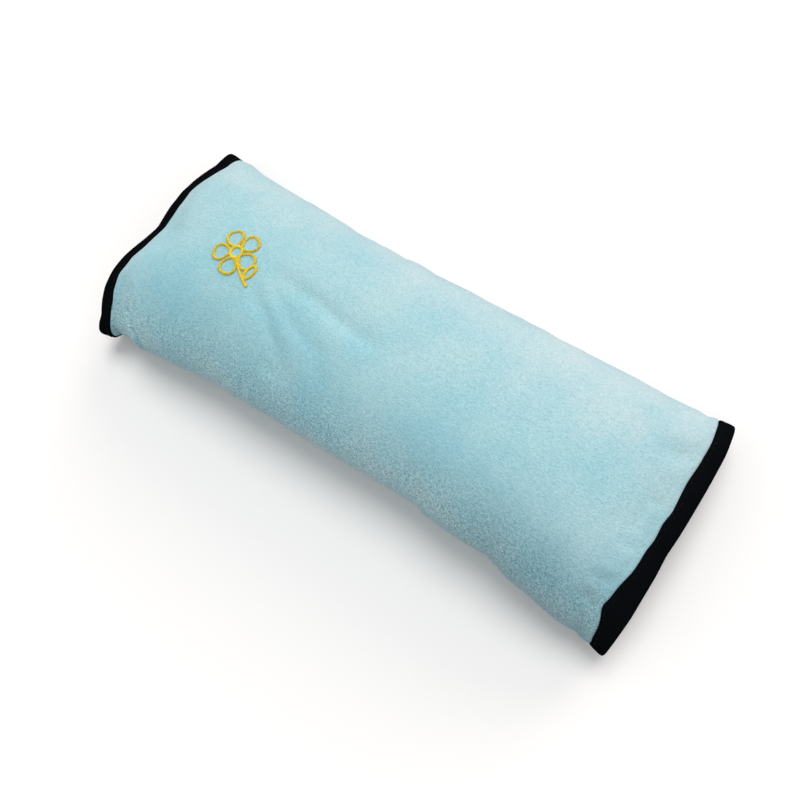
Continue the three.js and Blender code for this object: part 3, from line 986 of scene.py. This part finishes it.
@functools.lru_cache(maxsize=None)
def fibre_material():
    colours = bpy.context.scene.pad_colours
    return cloth_material(
        "stuffing_fibre", pile_group(), {"Stroke": 0.0009, "Stretch": 3.0, "Patch": 0.02},
        times(colours.fibre, 0.8), colours.fibre, (0.3, 0.6), (0.6, 0.001), 1.0, (0.2, 0.5, (1, 1, 1)),
    )[0]


@functools.lru_cache(maxsize=None)
def closure_material(name):
    colours = bpy.context.scene.pad_colours
    shade = colours.hook if name == "hook_weave" else colours.loop
    return cloth_material(
        name, weave_group(), {"Thread": 0.0006, "Slub": 0.3}, times(shade, 0.7), times(shade, 1.4),
        (0.2, 1.0), (0.5, 0.0003), 0.6, (0.05, 0.5, (1, 1, 1)), cloth_map=False,
    )[0]


@functools.lru_cache(maxsize=None)
def thread_material(name, low, high, roughness, size, shine=0.5):
    """Twisted thread: fine uneven grain as broad as its strands."""
    material, tree, shader = new_material(name, roughness, shine)
    source = node(tree, "ShaderNodeTexCoord", (-1100, 0)).outputs["Object"]
    noise = noise_node(tree, source, (-800, 0), {"Scale": 1.0 / size, "Detail": 2.0}, "3D")
    share = map_range(tree, noise.outputs[0], 0.3, 0.62, (-600, 0), "LINEAR")
    tree.links.new(blend(tree, share, low, high, (-400, 0)), shader.inputs["Base Color"])
    add_bump(tree, shader, noise.outputs[0], 0.4, 0.1 * MM)
    return material


def black_thread():
    """The thread of the seams."""
    thread = bpy.context.scene.pad_colours.thread
    return thread_material("black_thread", times(thread, 0.8), times(thread, 1.4), 0.95, 0.0003, 0.1)


def finish_piece(piece, material, replaced=()):
    """Gives a piece its material, its body and the CAD nodes that it stands for."""
    piece.data.materials.clear()
    piece.data.materials.append(material)
    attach(piece, "root")
    if replaced:
        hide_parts(*replaced)
    return piece


def edge_roll(run, total, radius):
    """How much a free edge's faces close in on each other, to round it off."""
    away = np.minimum(run, total - run)
    share = np.clip(1 - away / radius, 0, 1)
    return 1 - np.sqrt(1 - share**2)


# Stations beside the tape's inner edge: millimetres from it, and how tightly the tape grips the sheet there.
GRIP = ((-1.5, 0), (-0.9, 0.04), (-0.45, 0.22), (-0.1, 0.7), (0.35, 1.0), (2.5, 1.0), (5.5, 1.0))
GRIP_FROM = 2.4 * MM
BODY_STATIONS = 96

# The stations that bend to the tape's wavy edge: where they begin to and do so fully, and where they stop.
FOLLOW_FROM = (108 * MM, 130 * MM)
FOLLOW_TO = 133.5 * MM


def cover_stations(shape):
    """Plain stations, close together where the tape's inner edge grips the sheet, and the grip at each."""
    places, tight = np.array(GRIP).T
    body = np.linspace(0, shape.binding_start - GRIP_FROM, BODY_STATIONS)
    lip = shape.binding_start + places * MM
    grip = np.concatenate([np.zeros(len(body)), tight, [1.0]])
    half = np.concatenate([body, lip, [shape.sheet_end]])
    return np.concatenate([-half[:0:-1], half]), np.concatenate([grip[:0:-1], grip])


def follow_tape(shape, q, s):
    """Moves stations near an end so that they run along the wavy inner edge of its tape."""
    share = window(FOLLOW_FROM, (FOLLOW_TO, shape.sheet_end), np.abs(s))
    offset = np.where(s < 0, shape.narrowing(q, True), shape.narrowing(q, False))
    return s + np.sign(s) * offset * share


class PAD_OT_plush_cover(bpy.types.Operator):
    """Make the sheet of plush that wraps right round the pad"""

    bl_idname = "pad.plush_cover"
    bl_label = "Plush cover"

    ROW_GAP = 1.38 * MM
    EDGE_ROWS = (0.0, 0.12 * MM, 0.4 * MM, 0.8 * MM, 1.3 * MM)
    THINNEST = 0.1 * MM

    def execute(self, context):
        shape = pad_shape(context)
        turns, runs = shape.turns(self.ROW_GAP, ends=self.EDGE_ROWS)
        stations, grip = cover_stations(shape)
        q, plain = np.meshgrid(turns, stations)
        s = follow_tape(shape, q, plain)
        roll = edge_roll(runs, runs[-1], shape.plush / 2)[None, :] * (shape.plush / 2 - self.THINNEST)
        pressed = grip[:, None] * (shape.tape + shape.seat)
        outer_depth = np.maximum(pressed, roll)
        inner_depth = shape.plush - np.minimum(roll, shape.plush - outer_depth - self.THINNEST)
        stray = shape.stray(q, s)[..., None]
        normal = shape.normal(q, s)
        outer = shape.point(q, s, outer_depth) + normal * stray
        inner = shape.point(q, s, inner_depth) + normal * stray
        piece = sheet_object("plush_pad_cover", outer, inner, runs, stations)
        finish_piece(piece, plush_material(), ["plush_cover"])
        return {"FINISHED"}


class PAD_OT_stuffing(bpy.types.Operator):
    """Make the fibre stuffing between the front and the lining"""

    bl_idname = "pad.stuffing"
    bl_label = "Stuffing"

    LUMPS = 0.25 * MM
    MOST_RELIEF = 0.6 * MM
    FROM_BINDING = 9 * MM
    WIDTH = 0.14

    def execute(self, context):
        shape = pad_shape(context)
        turns = np.linspace(2.1, 2.9, 61)
        stations = np.linspace(-1, 1, 111) * (shape.binding_start - self.FROM_BINDING)
        q, s = np.meshgrid(turns, stations)
        random = np.random.default_rng(3)
        lumps = resample(random.standard_normal((28, 16)), *q.shape) * self.LUMPS
        stray = np.minimum(shape.stray(q, s), self.MOST_RELIEF) - np.abs(lumps)
        outer = shape.point(q, s, shape.lining_depth) + shape.normal(q, s) * stray[..., None]
        inner = shape.lining_point(q, s, -shape.seat)
        inner[..., 2] += np.abs(lumps) * 0.5
        runs = (turns - 2) * self.WIDTH
        piece = sheet_object("fibre_stuffing", outer, inner, runs, stations)
        finish_piece(piece, fibre_material(), ["fibre_filling"])
        return {"FINISHED"}


class PAD_OT_lining(bpy.types.Operator):
    """Make the lining that closes the stuffing in and slides on the belt"""

    bl_idname = "pad.lining"
    bl_label = "Lining"

    EDGE = 10 / 180
    RIPPLE = 0.22 * MM

    def execute(self, context):
        shape = pad_shape(context)
        turns = np.linspace(2 + self.EDGE, 3 - self.EDGE, 73)
        end = shape.sheet_end
        stations = np.linspace(-end, end, 143)
        q, s = np.meshgrid(turns, stations)
        random = np.random.default_rng(9)
        ripple = resample(random.standard_normal((22, 10)), *q.shape) * self.RIPPLE
        ripple *= 1 - smooth(100 * MM, 128 * MM, np.abs(s))
        ripple *= np.sin((turns - turns[0]) / (turns[-1] - turns[0]) * np.pi)[None, :]
        outer = shape.lining_point(q, s, 0.0)
        inner = shape.lining_point(q, s, shape.lining)
        outer[..., 2] -= np.abs(ripple)
        inner[..., 2] -= np.abs(ripple)
        runs = run_along(outer[len(stations) // 2])
        piece = sheet_object("belt_lining", outer, inner, runs, stations)
        finish_piece(piece, lining_material(), ["pocket_lining"])
        return {"FINISHED"}


def binding_section(shape, width, leaf):
    """The folded tape's section: how far in from the fold, and how deep, first round its outside and then back
    along its inside. The last point is beside the first."""
    deep = leaf + shape.tape
    fold = np.linspace(-np.pi / 2, np.pi / 2, 9)
    outer_in = [width, width - 0.25 * MM, width * 0.8, width * 0.55, width * 0.3, 1.9 * MM]
    outer_depth = [0.35 * MM, 0.05 * MM, -0.10 * MM, -0.16 * MM, -0.12 * MM, -0.02 * MM]
    round_in = 1.6 * MM * (1 - np.cos(fold))
    round_depth = deep / 2 * (1 + np.sin(fold))
    inner_in = [1.9 * MM, width * 0.4, width * 0.7, width - 0.2 * MM, width]
    inner_depth = [deep, deep, deep, deep - 0.05 * MM, deep - 0.4 * MM]
    out = np.stack([
        np.concatenate([outer_in, round_in, inner_in]),
        np.concatenate([outer_depth, round_depth, inner_depth]),
    ])
    inside_fold = np.linspace(-np.pi / 2, np.pi / 2, 5)
    inside_in = 0.8 * MM + 1.0 * MM * (1 - np.cos(inside_fold))
    inside_depth = shape.tape + (leaf - shape.tape) * (1 + np.sin(inside_fold)) / 2
    count = out.shape[1]
    places = np.concatenate([
        np.linspace(width, 2.0 * MM, 6), inside_in, np.linspace(2.0 * MM, width, count - 11),
    ])
    depths = np.concatenate([
        np.full(6, shape.tape), inside_depth, np.full(count - 11, leaf),
    ])
    return out, np.stack([places, depths])


def over_lining(q):
    """How much of the lining's thickness the inner leaf has to clear."""
    far = np.clip(q - 1, 0, 1) ** 2
    near = np.clip(4 - q, 0, 1) ** 2
    return np.where(q < 2, far, np.where(q > 3, near, 1.0))


def tape_relief(runs, seed):
    """Slight gathers of a tape along its length."""
    random = np.random.default_rng(seed)
    field = random.standard_normal((4, int(runs[-1] / (5 * MM)) + 2))
    return resample(field, 4, len(runs))


class PAD_OT_bindings(bpy.types.Operator):
    """Make the folded tapes over both ends, with their stitching"""

    bl_idname = "pad.bindings"
    bl_label = "End bindings"

    # Past the sheet's free edges the tape is pressed shut: how far past, and how nearly shut.
    SHUT = ((0.3 * MM, 0.35), (0.6 * MM, 0.8), (0.9 * MM, 0.97))
    ROW_GAP = 1.1 * MM
    GATHER_OUT = 0.10 * MM
    GATHER_ALONG = 0.18 * MM
    SEAM_INSET = 1.7 * MM
    SEAM_PROUD = 0.02 * MM
    SEAM_LOWEST = 0.15 * MM

    def execute(self, context):
        shape = pad_shape(context)
        turns, runs = shape.turns(self.ROW_GAP)
        for side, name in ((-1, "left"), (1, "right")):
            width = shape.tape_width - shape.narrowing(turns, side < 0)
            leaf = shape.plush + shape.seat + (shape.lining + shape.seat) * over_lining(turns)
            gather = tape_relief(runs, 21 + side)
            outer, inner, along = [], [], []
            past = [(0, -reach, share) for reach, share in reversed(self.SHUT)]
            past += [(k, 0.0, 0.0) for k in range(len(turns))]
            past += [(-1, reach, share) for reach, share in self.SHUT]
            for k, reach, share in past:
                out, back = binding_section(shape, width[k], leaf[k])
                lift = self.GATHER_OUT * gather[1, k] * np.sin(np.pi * np.clip(out[0] / width[k], 0, 1))
                on_top = out[1] < leaf[k] / 2
                out[1] -= np.where(on_top, lift, 0)
                middle = (leaf[k] + shape.tape) / 2
                out[1] -= share * (leaf[k] - shape.tape) / 2 * np.clip(out[1] / middle - 1, -1, 1)
                back[1] += share * (middle - back[1])
                end = shape.half_length - out[0] + self.GATHER_ALONG * gather[2, k] * (out[0] > 0.6 * width[k])
                outer.append(shape.point(turns[k], side * end, out[1]) + (0, reach, 0))
                inside = shape.half_length - back[0]
                inner.append(shape.point(turns[k], side * inside, back[1]) + (0, reach, 0))
                along.append(runs[k] + reach)
            outer, inner = np.array(outer), np.array(inner)
            outer[..., 2] = np.maximum(outer[..., 2], 0.0)
            if side > 0:
                outer, inner = outer[::-1], inner[::-1]
            across = run_along(outer[len(turns) // 2])
            piece = sheet_object(f"{name}_binding_tape", outer, inner, across, along)
            finish_piece(piece, tape_material(), [f"{name}_end_binding"])
            self.stitch(shape, side, name, turns, width, leaf)
        return {"FINISHED"}

    def stitch(self, shape, side, name, turns, width, leaf):
        """A row of lock stitches on both leaves of a tape."""
        inset = shape.half_length - width + self.SEAM_INSET
        normal = shape.normal(turns, np.full_like(turns, side * shape.binding_start))
        top = shape.point(turns, side * inset, 0.0) + normal * self.SEAM_PROUD
        under = shape.point(turns, side * inset, leaf + shape.tape) - normal * self.SEAM_PROUD
        top[:, 2] = np.maximum(top[:, 2], self.SEAM_LOWEST)
        rows = [(top, normal), (under, -normal)]
        piece = stitch_rows(f"{name}_binding_stitches", rows, shape.thread, 2.5 * MM, 0.7 * MM)
        finish_piece(piece, black_thread())


def capsule(length, radius, sag):
    """One stitch along X from its middle, its ends turned down into the cloth."""
    sides, spans = STITCH_SIDES, STITCH_SPANS
    points, faces = [], []
    for place in np.linspace(-1, 1, spans + 1):
        thick = radius * (1 - 0.45 * abs(place) ** 4)
        drop = sag * abs(place) ** 3
        for turn in np.linspace(0, 2 * np.pi, sides + 1)[:-1]:
            points.append((place * length / 2, thick * np.cos(turn), thick * np.sin(turn) - drop))
    for i in range(spans):
        for k in range(sides):
            a, b = i * sides + k, i * sides + (k + 1) % sides
            faces.append((a, b, b + sides, a + sides))
    last = spans * sides
    for k in range(1, sides - 1):
        faces.append((0, k + 1, k))
        faces.append((last, last + k, last + k + 1))
    return np.array(points), faces


def stitch_rows(name, rows, thread, stitch, gap):
    """Rows of stitches, each along a line of points with the way out of the cloth at each."""
    shape_points, shape_faces = capsule(stitch, thread / 2, thread * 0.75)
    points, faces = [], []
    for line, ways in rows:
        run = run_along(line)

        def read(values, at):
            return np.array([np.interp(at, run, values[:, k]) for k in range(3)])

        for place in np.arange(stitch, run[-1] - stitch / 2, stitch + gap):
            way = read(line, place + 1 * MM) - read(line, place - 1 * MM)
            way /= np.linalg.norm(way)
            out = read(ways, place)
            out -= way * (out @ way)
            out /= np.linalg.norm(out)
            turn = np.stack([way, np.cross(out, way), out])
            base = len(points) * len(shape_points)
            points.append(read(line, place) + shape_points @ turn)
            faces.extend(tuple(base + corner for corner in face) for face in shape_faces)
    return mesh_object(name, np.concatenate(points), faces)


def deselect():
    """Nothing selected, in object mode."""
    if bpy.context.object and bpy.context.object.mode != "OBJECT":
        bpy.ops.object.mode_set(mode="OBJECT")
    bpy.ops.object.select_all(action="DESELECT")


def modelled_strip(name, size, centre):
    """A strip of tape with rounded selvedges, from a cube."""
    deselect()
    bpy.ops.mesh.primitive_cube_add(size=1, location=centre, scale=size)
    piece = bpy.context.object
    piece.name = name
    bpy.ops.object.transform_apply(location=True, rotation=True, scale=True)
    bpy.ops.object.mode_set(mode="EDIT")
    bpy.ops.mesh.select_all(action="SELECT")
    bpy.ops.mesh.bevel(offset=size[2] * SELVEDGE_ROUNDING, segments=2, affect="EDGES")
    for place in (-SELVEDGE_PLACE, SELVEDGE_PLACE):
        bpy.ops.mesh.select_all(action="SELECT")
        bpy.ops.mesh.bisect(plane_co=(0, centre[1] + place * size[1], 0), plane_no=(0, 1, 0))
    bpy.ops.mesh.normals_make_consistent(inside=False)
    bpy.ops.object.mode_set(mode="OBJECT")
    return piece


def modelled_hook(height):
    """One small hook: a stalk drawn up from a five-sided cylinder and turned over at the top."""
    deselect()
    bpy.ops.mesh.primitive_cylinder_add(
        vertices=5, radius=height * 0.16, depth=height * 0.5, location=(0, 0, height * 0.25)
    )
    hook = bpy.context.object
    bpy.ops.object.transform_apply(location=True, rotation=True, scale=True)
    bpy.ops.object.mode_set(mode="EDIT")
    bpy.ops.mesh.select_mode(type="FACE")
    bpy.ops.mesh.select_all(action="DESELECT")
    mesh = bmesh.from_edit_mesh(hook.data)
    for face in mesh.faces:
        face.select_set(face.normal.z > 0.9)
    bmesh.update_edit_mesh(hook.data)
    for step in ((0.12, 0, 0.3), (0.3, 0, 0.1), (0.2, 0, -0.12), (0.02, 0, -0.2)):
        move = tuple(part * height for part in step)
        bpy.ops.mesh.extrude_region_move(TRANSFORM_OT_translate={"value": move})
        bpy.ops.transform.resize(value=(0.85, 0.85, 0.85))
    bpy.ops.object.mode_set(mode="OBJECT")
    return hook


def modelled_loop(height):
    """One small loop: the upper half of a fine ring."""
    deselect()
    bpy.ops.mesh.primitive_torus_add(
        major_segments=8, minor_segments=4, major_radius=height * 0.7, minor_radius=height * 0.12,
        rotation=(math.pi / 2, 0, 0),
    )
    loop = bpy.context.object
    bpy.ops.object.transform_apply(location=True, rotation=True, scale=True)
    bpy.ops.object.mode_set(mode="EDIT")
    bpy.ops.mesh.select_all(action="SELECT")
    bpy.ops.mesh.bisect(plane_co=(0, 0, 0), plane_no=(0, 0, 1), clear_inner=True, use_fill=True)
    bpy.ops.object.mode_set(mode="OBJECT")
    return loop


def scattered(master, places, turns, flip):
    """Copies of a small shape in one mesh, at places and turned about the upright. The shape is taken away."""
    count = len(master.data.vertices)
    base = np.empty(count * 3)
    master.data.vertices.foreach_get("co", base)
    base = base.reshape(-1, 3)
    if flip:
        base = base * (1, -1, -1)
    shape_faces = [tuple(face.vertices) for face in master.data.polygons]
    points, faces = [], []
    for index, (place, turn) in enumerate(zip(places, turns)):
        cos, sin = math.cos(turn), math.sin(turn)
        spin = np.array([[cos, -sin, 0], [sin, cos, 0], [0, 0, 1]])
        points.append(base @ spin.T + place)
        faces.extend(tuple(index * count + corner for corner in face) for face in shape_faces)
    bpy.data.objects.remove(master)
    return np.concatenate(points), faces


class PAD_OT_closure(bpy.types.Operator):
    """Make the hook tape and the loop tape between the flaps, with their stitching"""

    bl_idname = "pad.closure"
    bl_label = "Hook and loop closure"

    BASE = 0.5 * MM
    HOOK_GAP = 2.9 * MM
    LOOP_GAP = 2.6 * MM
    STRAY = 0.4
    SEAM_INSET = 1.8 * MM
    SEAM_SINK = 0.05 * MM
    SEAM_POINTS = 60

    def execute(self, context):
        shape = pad_shape(context)
        long = 2 * (shape.binding_start - 2 * MM)
        random = np.random.default_rng(17)
        bottom = shape.plush + shape.seat
        top = shape.plush + 2 * shape.closure + 2 * shape.seat
        base = self.BASE
        pile = shape.closure - base
        for name, material, node_name, centre, foot, down, gap in (
            ("hook_strip", "hook_weave", "hook_tape", bottom + base / 2, bottom + base, False, self.HOOK_GAP),
            ("loop_strip", "loop_weave", "loop_tape", top - base / 2, top - base, True, self.LOOP_GAP),
        ):
            strip = modelled_strip(name, (long, shape.closure_width, base), (0, 0, centre))
            master = modelled_loop(pile) if down else modelled_hook(pile)
            x = np.arange(-long / 2 + 2 * MM, long / 2 - 2 * MM, gap)
            y = np.arange(-0.40, 0.41, 0.1) * shape.closure_width
            grid = np.stack([*np.meshgrid(x, y), np.full((len(y), len(x)), foot)], axis=-1).reshape(-1, 3)
            grid[:, :2] += random.uniform(-self.STRAY, self.STRAY, (len(grid), 2)) * MM
            if down:
                turns = random.uniform(0, 2 * math.pi, len(grid))
            else:
                turns = random.choice([0, math.pi], len(grid))
            points, faces = scattered(master, grid, turns, down)
            small = bpy.data.meshes.new(name + "_pile")
            small.from_pydata(points.tolist(), [], faces)
            pile_piece = linked_object(name + "_pile", small)
            deselect()
            pile_piece.select_set(True)
            strip.select_set(True)
            bpy.context.view_layer.objects.active = strip
            bpy.ops.object.join()
            finish_piece(strip, closure_material(material), [node_name])
        line = np.linspace(-long / 2 + 1 * MM, long / 2 - 1 * MM, self.SEAM_POINTS)
        over = shape.flap_rise + shape.plush - self.SEAM_SINK
        rows = []
        for side in (-1, 1):
            across = np.full_like(line, side * (shape.closure_width / 2 - self.SEAM_INSET))
            for level, out in ((self.SEAM_SINK, (0, 0, -1.0)), (over, (0, 0, 1.0))):
                seam = np.stack([line, across, np.full_like(line, level)], axis=-1)
                rows.append((seam, np.tile(out, (self.SEAM_POINTS, 1))))
        piece = stitch_rows("closure_stitches", rows, shape.thread, 2.8 * MM, 0.8 * MM)
        finish_piece(piece, black_thread())
        return {"FINISHED"}


def bezier(points, count):
    """A curve of three or four control points, at evenly spaced places."""
    t = np.linspace(0, 1, 200)[:, None]
    degree = len(points) - 1
    curve = sum(
        math.comb(degree, k) * (1 - t) ** (degree - k) * t**k * np.array(point)
        for k, point in enumerate(points)
    )
    run = run_along(curve)
    at = np.linspace(0, run[-1], count)
    return np.stack([np.interp(at, run, curve[:, 0]), np.interp(at, run, curve[:, 1])], axis=-1)


def petal_line(foot, reach, breadth, angle, gap):
    """A petal's outline, out along one side and back along the other."""
    broad, neck = breadth * 2 / 3, reach * 0.3
    count = int(reach * 1.15 / gap)
    out = bezier([(0, 0), (neck, -broad), (reach, -broad), (reach, 0)], count)
    back = bezier([(reach, 0), (reach, broad), (neck, broad), (0, 0)], count)
    line = np.concatenate([out, back[1:-1]])
    cos, sin = math.cos(angle), math.sin(angle)
    return line @ np.array([[cos, sin], [-sin, cos]]) + foot


def flower_lines(flower, gap):
    """The flower's bands in its own plane: each a line of points, and whether it closes on itself."""
    around = np.linspace(0, 2 * np.pi, int(2 * np.pi * flower.eye / gap) + 1)[:-1]
    lines = [(np.stack([np.cos(around), np.sin(around)], axis=-1) * flower.eye, True)]
    for i in range(flower.petals):
        angle = math.pi / 2 + 2 * math.pi * i / flower.petals
        foot = np.array([math.cos(angle), math.sin(angle)]) * flower.eye
        lines.append((petal_line(foot, flower.reach - flower.eye, flower.breadth, angle, gap), True))
    stem_points = [
        (0, -flower.eye),
        (0, -flower.eye - flower.stem / 2),
        (flower.bend, -flower.eye - flower.stem),
    ]
    lines.append((bezier(stem_points, int(flower.stem / gap)), False))
    t = 0.75
    foot = sum(w * np.array(p) for w, p in zip(((1 - t) ** 2, 2 * t * (1 - t), t**2), stem_points))
    lines.append((petal_line(foot, flower.leaf, flower.leaf_breadth, math.pi / 5, gap), True))
    return lines


class PAD_OT_embroidery(bpy.types.Operator):
    """Make the flower in satin stitch near the left end"""

    bl_idname = "pad.embroidery"
    bl_label = "Embroidered flower"

    STRAND_GAP = 0.36 * MM
    STRAND_SIDES = 4
    STRAND_POINTS = 7
    SLANT = 0.22 * MM
    SUNK = 0.05 * MM

    def execute(self, context):
        shape = pad_shape(context)
        flower = context.scene.flower_sizes
        gap = self.STRAND_GAP
        points, faces = [], []
        random = np.random.default_rng(23)
        ring = np.linspace(0, 2 * np.pi, self.STRAND_SIDES + 1)[:-1] + np.pi / 4
        places = np.linspace(-1, 1, self.STRAND_POINTS)
        cos, sin = math.cos(flower.turn), math.sin(flower.turn)
        for line, closed in flower_lines(flower, gap):
            if closed:
                along = np.roll(line, -1, axis=0) - np.roll(line, 1, axis=0)
            else:
                along = np.gradient(line, axis=0)
            along /= np.linalg.norm(along, axis=1, keepdims=True)
            side = np.stack([along[:, 1], -along[:, 0]], axis=-1)
            for middle, way, out in zip(line, along, side):
                half = flower.band / 2 * random.uniform(0.93, 1.07)
                slant = self.SLANT + random.uniform(-0.05, 0.05) * MM
                radius = gap * random.uniform(0.52, 0.62)
                rise = flower.rise * random.uniform(0.92, 1.05)
                flat = middle + places[:, None] * (out * half + way * slant)
                lift = (rise - radius) * np.sqrt(np.clip(1 - places**2 * 0.98, 0, 1)) + self.SUNK
                base = len(points) * len(ring)
                for spot, height in zip(flat, lift):
                    circle = spot + np.cos(ring)[:, None] * radius * way
                    s = flower.along + circle[:, 0] * cos - circle[:, 1] * sin
                    y = flower.across + circle[:, 0] * sin + circle[:, 1] * cos
                    points.append((s, y, height + np.sin(ring) * radius))
                faces.extend(self.strand_faces(base))
        s, y, height = (np.concatenate([part[k] for part in points]) for k in range(3))
        q = shape.front_turn(s, y)
        normal = shape.normal(q, s)
        placed = shape.outer(q, s) + normal * height[:, None]
        piece = mesh_object("satin_flower", placed, faces)
        bm = bmesh.new()
        bm.from_mesh(piece.data)
        bmesh.ops.recalc_face_normals(bm, faces=bm.faces)
        bm.to_mesh(piece.data)
        bm.free()
        colours = context.scene.pad_colours
        deep, bright = tuple(colours.yellow_deep), tuple(colours.yellow)
        material = thread_material("yellow_thread", deep, bright, 0.42, 0.0006)
        finish_piece(piece, material, ["flower_embroidery"])
        return {"FINISHED"}

    def strand_faces(self, base):
        """Faces of one closed strand whose points start at base."""
        count, spans = self.STRAND_SIDES, self.STRAND_POINTS - 1
        faces = []
        for i in range(spans):
            for k in range(count):
                a, b = base + i * count + k, base + i * count + (k + 1) % count
                faces.append((a, b, b + count, a + count))
        faces.append(tuple(base + k for k in reversed(range(count))))
        faces.append(tuple(base + spans * count + k for k in range(count)))
        return faces


class PAD_OT_stage(bpy.types.Operator):
    """Make the floor, the light and the camera"""

    bl_idname = "pad.stage"
    bl_label = "Floor, light and camera"

    def execute(self, context):
        stage = context.scene.pad_stage
        deselect()
        bpy.ops.mesh.primitive_plane_add(size=stage.floor_size, location=(0, 0, -FLOOR_DROP))
        floor = context.object
        floor.name = "pale_floor"
        floor.data.materials.append(self.pale_material())
        self.add_world(context, stage.ambient)
        self.add_sun("key_lamp", stage.key, stage.key_spread, (1.0, 0.985, 0.97), (-0.15, 0.5, 1.25))
        self.add_sun("side_lamp", stage.side, stage.side_spread, (1.0, 0.89, 0.88), (0.05, 1.0, 0.42))
        self.place_camera(context, stage)
        context.scene.view_settings.view_transform = "Standard"
        return {"FINISHED"}

    @staticmethod
    def add_world(context, ambient):
        """An even surround that looks white and lights the pad at its own level."""
        world = bpy.data.worlds.new("pale_surround")
        context.scene.world = world
        world.use_nodes = True
        tree = world.node_tree
        back = fill(tree.nodes["Background"], {"Color": (1.0, 1.0, 1.0, 1.0)})
        seen = seen_by(tree, "Is Camera Ray", "Is Glossy Ray", "Is Transmission Ray")
        level = fill(node(tree, "ShaderNodeMapRange", (-200, 0)), {"To Min": ambient, "To Max": 1.0})
        tree.links.new(seen, level.inputs["Value"])
        tree.links.new(level.outputs[0], back.inputs["Strength"])

    @staticmethod
    def add_sun(name, strength, spread, tint, way):
        """A broad lamp that shines on the pad from a direction."""
        lamp = bpy.data.lights.new(name, "SUN")
        lamp.energy = strength
        lamp.angle = spread
        lamp.color = tint
        back = np.array(way) / np.linalg.norm(way)
        right = np.cross((0, 0, 1.0), back)
        right /= np.linalg.norm(right)
        sun = linked_object(name, lamp)
        sun.rotation_euler = Matrix(np.stack([right, np.cross(back, right), back], axis=1).tolist()).to_euler()
        sun.location = way

    @staticmethod
    def place_camera(context, stage):
        lens = bpy.data.cameras.new("view")
        lens.lens = stage.lens
        lens.sensor_width = SENSOR_WIDTH
        lens.clip_start = 0.01
        camera = linked_object("view", lens)
        turned = Matrix(np.stack([CAMERA_RIGHT, CAMERA_UP, CAMERA_BACK], axis=1).tolist()).to_4x4()
        camera.matrix_world = Matrix.Translation(CAMERA_PLACE) @ turned
        context.scene.camera = camera

    @staticmethod
    def pale_material():
        """Pale card that shows near white to the camera and keeps the pad's shadow."""
        material, tree, shader = new_material("pale_card", 1.0, 0.0)
        seen = seen_by(tree, "Is Camera Ray", "Is Glossy Ray")
        grain = fill(node(tree, "ShaderNodeTexNoise", (-700, -300)), {"Scale": 60.0})
        faint = blend(tree, grain.outputs[0], (0.42, 0.42, 0.42), (0.44, 0.44, 0.44), (-450, -200))
        tree.links.new(blend(tree, seen, faint, (1.0, 1.0, 1.0), (-200, 0)), shader.inputs["Base Color"])
        return material


class PAD_PT_panel(bpy.types.Panel):
    """The pad's sizes, colours and pieces"""

    bl_idname = "PAD_PT_panel"
    bl_label = "Shoulder Pad"
    bl_space_type = "VIEW_3D"
    bl_region_type = "UI"
    bl_category = "Shoulder Pad"

    def draw(self, context):
        scene = context.scene
        for label, owner, group in (
            ("Sizes", scene.pad_sizes, PadSizes),
            ("Flower", scene.flower_sizes, FlowerSizes),
            ("Colours", scene.pad_colours, PadColours),
            ("Stage", scene.pad_stage, StageSettings),
        ):
            column = self.layout.column()
            column.label(text=label)
            for name in group.__annotations__:
                column.prop(owner, name)
        self.layout.label(text="Pieces")
        for operator in OPERATORS:
            self.layout.operator(operator.bl_idname)


OPERATORS = (
    PAD_OT_plush_cover,
    PAD_OT_stuffing,
    PAD_OT_lining,
    PAD_OT_bindings,
    PAD_OT_closure,
    PAD_OT_embroidery,
    PAD_OT_stage,
)
GROUPS = (
    ("pad_sizes", PadSizes),
    ("flower_sizes", FlowerSizes),
    ("pad_colours", PadColours),
    ("pad_stage", StageSettings),
)


def register():
    for name, group in GROUPS:
        bpy.utils.register_class(group)
        setattr(bpy.types.Scene, name, PointerProperty(type=group))
    for operator in OPERATORS:
        bpy.utils.register_class(operator)
    bpy.utils.register_class(PAD_PT_panel)


def unregister():
    bpy.utils.unregister_class(PAD_PT_panel)
    for operator in reversed(OPERATORS):
        bpy.utils.unregister_class(operator)
    for name, group in reversed(GROUPS):
        delattr(bpy.types.Scene, name)
        bpy.utils.unregister_class(group)


def main():
    register()
    bpy.ops.pad.stage()
    bpy.ops.pad.plush_cover()
    bpy.ops.pad.stuffing()
    bpy.ops.pad.lining()
    bpy.ops.pad.bindings()
    bpy.ops.pad.closure()
    bpy.ops.pad.embroidery()


if __name__ == "__main__":
    main()
